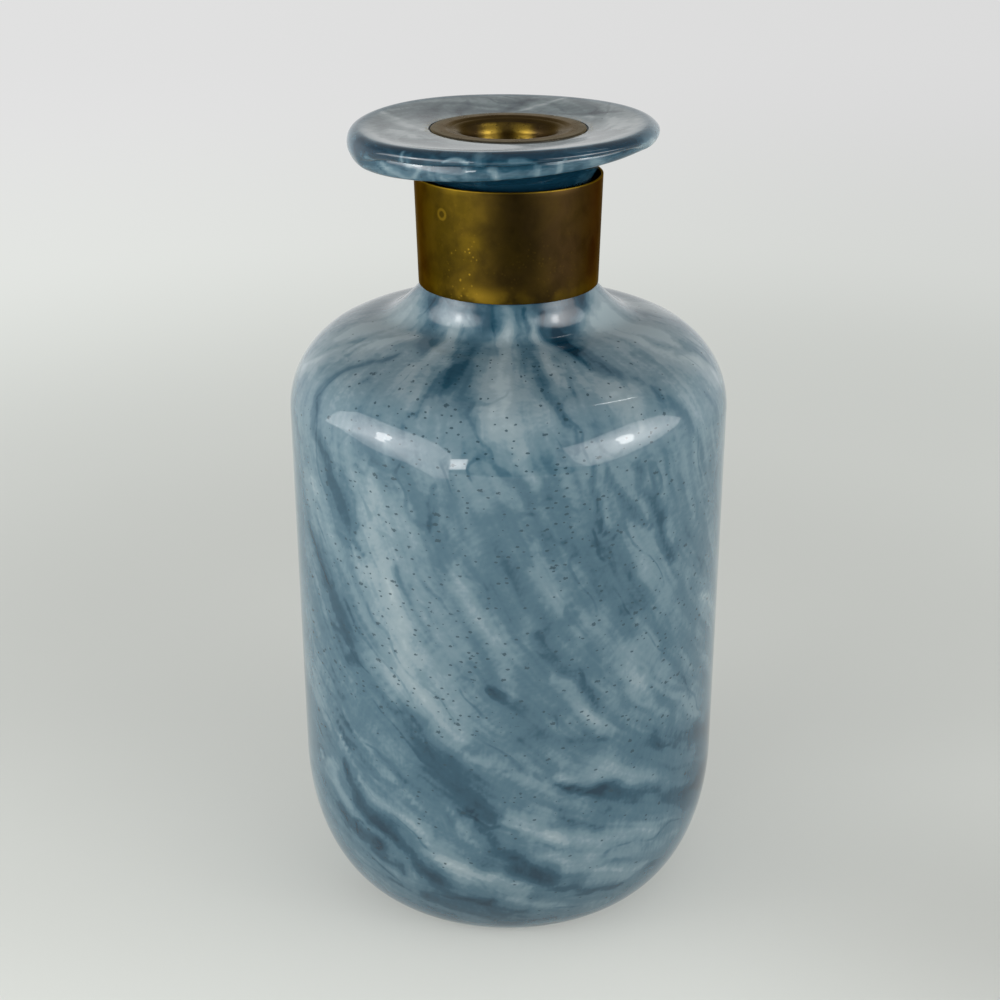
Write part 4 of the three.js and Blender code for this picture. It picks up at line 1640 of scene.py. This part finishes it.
@dataclass
class Studio:
    """A pale floor, lamps and glowing panels to the sides, a dim surround and dark cards in front."""

    floor_radius: float = 9.0
    near_colour: Colour = (0.69, 0.71, 0.675)
    paper: Colour = (0.8, 0.8, 0.8)
    glow_tint: Colour = (0.97, 1.0, 0.955)
    near_glow: float = 0.40
    near_level: float = 0.62
    far_level: float = 0.735
    painted_front_light: float = 0.32
    painted_side_light: Point = (0.06, -0.075)
    painted_corner_shadow: float = -0.35
    painted_shadow_behind: float = -0.07
    horizon: float = 0.72
    dome: float = 0.50
    dome_starts: Point = (0.1, 0.58)
    mirrored_dome: float = 0.28
    target: Vector = field(default_factory=lambda: Vector((0, 0, 0.2)))
    lamps: tuple[Softbox, ...] = (
        Softbox(-64, 10, 0.93, 0.20, 0.14, 8.0),
        Softbox(59, 11, 0.93, 0.20, 0.14, 8.0),
    )
    panels: tuple[GlowPanel, ...] = (
        GlowPanel((-64, 9), (
            (-103, -1), (-97, 13), (-87, 23), (-75, 25), (-60, 24), (-47, 22), (-35, 17), (-27, 6),
            (-28, -19), (-35, -20), (-40, -16), (-50, -9), (-58, -7), (-70, -4), (-79, -1), (-90, 1),
        ), 8.5, 2.9),
        GlowPanel((60, 10), (
            (96, 7), (90, 15), (85, 20), (69, 25), (52, 23), (37, 18), (26, 15), (31, -1), (38, -9), (49, -7),
            (57, -5), (67, -2), (76, 0), (88, 3), (93, 4),
        ), 8.5, 2.9),
        GlowPanel((-24, -3), ((-28, 2), (-19, 4), (-20, -8), (-29, -10)), 11.0, 8.0, 0.90),
        GlowPanel((103, 57.5), (
            (96, 65), (104, 58), (111.5, 50), (110.9, 49.6), (103, 57), (95.5, 64),
        ), 16.0, 10.0),
    )
    cards: tuple[DarkCard, ...] = (
        DarkCard(1.6, 1.0, (0, -1.22, 0.004), False),
        DarkCard(1.5, 1.3, (0, -1.75, 0.66), True),
    )

    def floor_level(self, bench: NodeBench, flat: Socket) -> Socket:
        """Works out how brightly the floor glows, with painted light and painted shadow near the decanter.

        Args:
            bench: The material that the nodes go into.
            flat: Distance from the decanter's axis, in metres.

        Returns:
            The brightness's socket.
        """
        right, back = bench.axis("X"), bench.axis("Y")
        # Painted light and shade: further out, the floor is lighter to the left and darker to the right
        side = bench.between(bench.calc("DIVIDE", right, flat), -0.6, 0.6, *self.painted_side_light)
        side = bench.times(side, bench.between(flat, 0.36, 0.75))
        side = bench.times(side, bench.between(flat, 0.9, 2.2, 0.9, 0.4))
        # Painted light: lighter in front of the decanter
        front = bench.between(back, -0.20, -0.02, self.painted_front_light, 0.0)
        # Painted shadow over the floor to the front right of the decanter
        corner = bench.between(back, -0.08, 0.06, self.painted_corner_shadow, 0.0)
        corner = bench.times(bench.between(right, 0.04, 0.2), corner)
        # Painted shadow behind the decanter
        behind = bench.between(back, 0.0, 0.12, 0.0, self.painted_shadow_behind)
        behind = bench.times(behind, bench.between(flat, 0.28, 0.48, 1.0, 0.0))
        level = bench.between(flat, 0.2, 1.0, self.near_level, self.far_level)
        for share in (side, front, corner, behind):
            level = bench.calc("ADD", level, share)
        return level

    def floor_material(self) -> bpy.types.Material:
        """Builds the floor's material: matt near the decanter, an even pale ground far away.

        Returns:
            The finished material.
        """
        bench = NodeBench("pale_floor")
        flat = bench.add("VectorMath", {0: bench.place()}, operation="LENGTH").outputs["Value"]
        weave = bench.noise(bench.place(), 60.0, 4.0)
        tint = bench.blend(bench.times(weave, 0.06), self.near_colour, self.paper)
        matt = bench.add("BsdfDiffuse", {"Color": tint})
        pale = bench.blend(bench.between(flat, 0.5, 1.8), self.glow_tint, (1.0, 1.0, 1.0))
        glow = bench.add("Emission", {"Color": pale, "Strength": self.floor_level(bench, flat)})
        path = bench.add("LightPath").outputs
        seen = bench.calc("MAXIMUM", path["Is Camera Ray"], path["Is Glossy Ray"])
        seen = bench.calc("MAXIMUM", seen, path["Is Transmission Ray"])
        share = bench.times(bench.between(flat, 0.16, 0.95, self.near_glow, 1.0), seen)
        return bench.close(bench.add("MixShader", {0: share, 1: matt.outputs[0], 2: glow.outputs[0]}))

    def lay_floor(self) -> None:
        """Lays the floor."""
        mesh = bmesh.new()
        bmesh.ops.create_circle(mesh, cap_ends=True, radius=self.floor_radius, segments=96)
        floor = settle(mesh, "floor")
        floor.data.materials.append(self.floor_material())

    def surround(self) -> None:
        """Makes the world: pale along the horizon and dim overhead."""
        world = bpy.data.worlds.new("surround")
        bpy.context.scene.world = world
        world.use_nodes = True
        tree = world.node_tree
        place = tree.nodes.new("ShaderNodeTexCoord")
        split = tree.nodes.new("ShaderNodeSeparateXYZ")
        tree.links.new(place.outputs["Generated"], split.inputs[0])
        path = tree.nodes.new("ShaderNodeLightPath")
        choice = tree.nodes.new("ShaderNodeMix")
        tree.links.new(path.outputs["Is Glossy Ray"], choice.inputs[0])
        low, high = self.dome_starts
        for socket, overhead in ((2, self.dome), (3, self.mirrored_dome)):
            level = tree.nodes.new("ShaderNodeMapRange")
            level.interpolation_type = "SMOOTHSTEP"
            ends = {"From Min": low, "From Max": high, "To Min": self.horizon, "To Max": overhead}
            for key, value in ends.items():
                level.inputs[key].default_value = value
            tree.links.new(split.outputs["Z"], level.inputs["Value"])
            tree.links.new(level.outputs[0], choice.inputs[socket])
        tree.links.new(choice.outputs[0], tree.nodes["Background"].inputs["Strength"])
        tree.nodes["Background"].inputs["Color"].default_value = (1, 1, 1, 1)

    def build(self) -> None:
        """Sets up the floor, the cards, the lamps and the surround."""
        self.lay_floor()
        for number, card in enumerate(self.cards):
            card.stand(f"dark_card_{number}")
        for number, lamp in enumerate(self.lamps):
            lamp.hang(f"lamp_{number}", self.target)
        for number, panel in enumerate(self.panels):
            panel.hang(f"panel_{number}", self.target)
        self.surround()
        bpy.context.scene.view_settings.view_transform = "Standard"


@dataclass
class PhotoView:
    """The camera, where the photograph was taken from."""

    place: tuple[float, float, float] = (0.0, -0.5661, 0.3864)
    pitch: float = 23.035
    lens: float = 61.58
    shift: float = -0.0085
    sensor: float = 36.0
    nearest: float = 0.01

    def build(self) -> None:
        """Sets the camera up."""
        camera = bpy.data.cameras.new("photo_view")
        camera.lens = self.lens
        camera.sensor_width = self.sensor
        camera.shift_x = self.shift
        camera.clip_start = self.nearest
        stand = bpy.data.objects.new("photo_view", camera)
        stand.location = self.place
        stand.rotation_euler = (math.radians(90 - self.pitch), 0, 0)
        bpy.context.scene.collection.objects.link(stand)
        bpy.context.scene.camera = stand


def main() -> None:
    """Builds the view, the studio and the decanter's pieces in order."""
    logging.basicConfig(level=logging.INFO, format="%(message)s")
    PhotoView().build()
    Studio().build()
    for part in (GlassVessel(), NeckCollar(), MouthFerrule(), NeckBung()):
        part.dress(part.build())


if __name__ == "__main__":
    main()
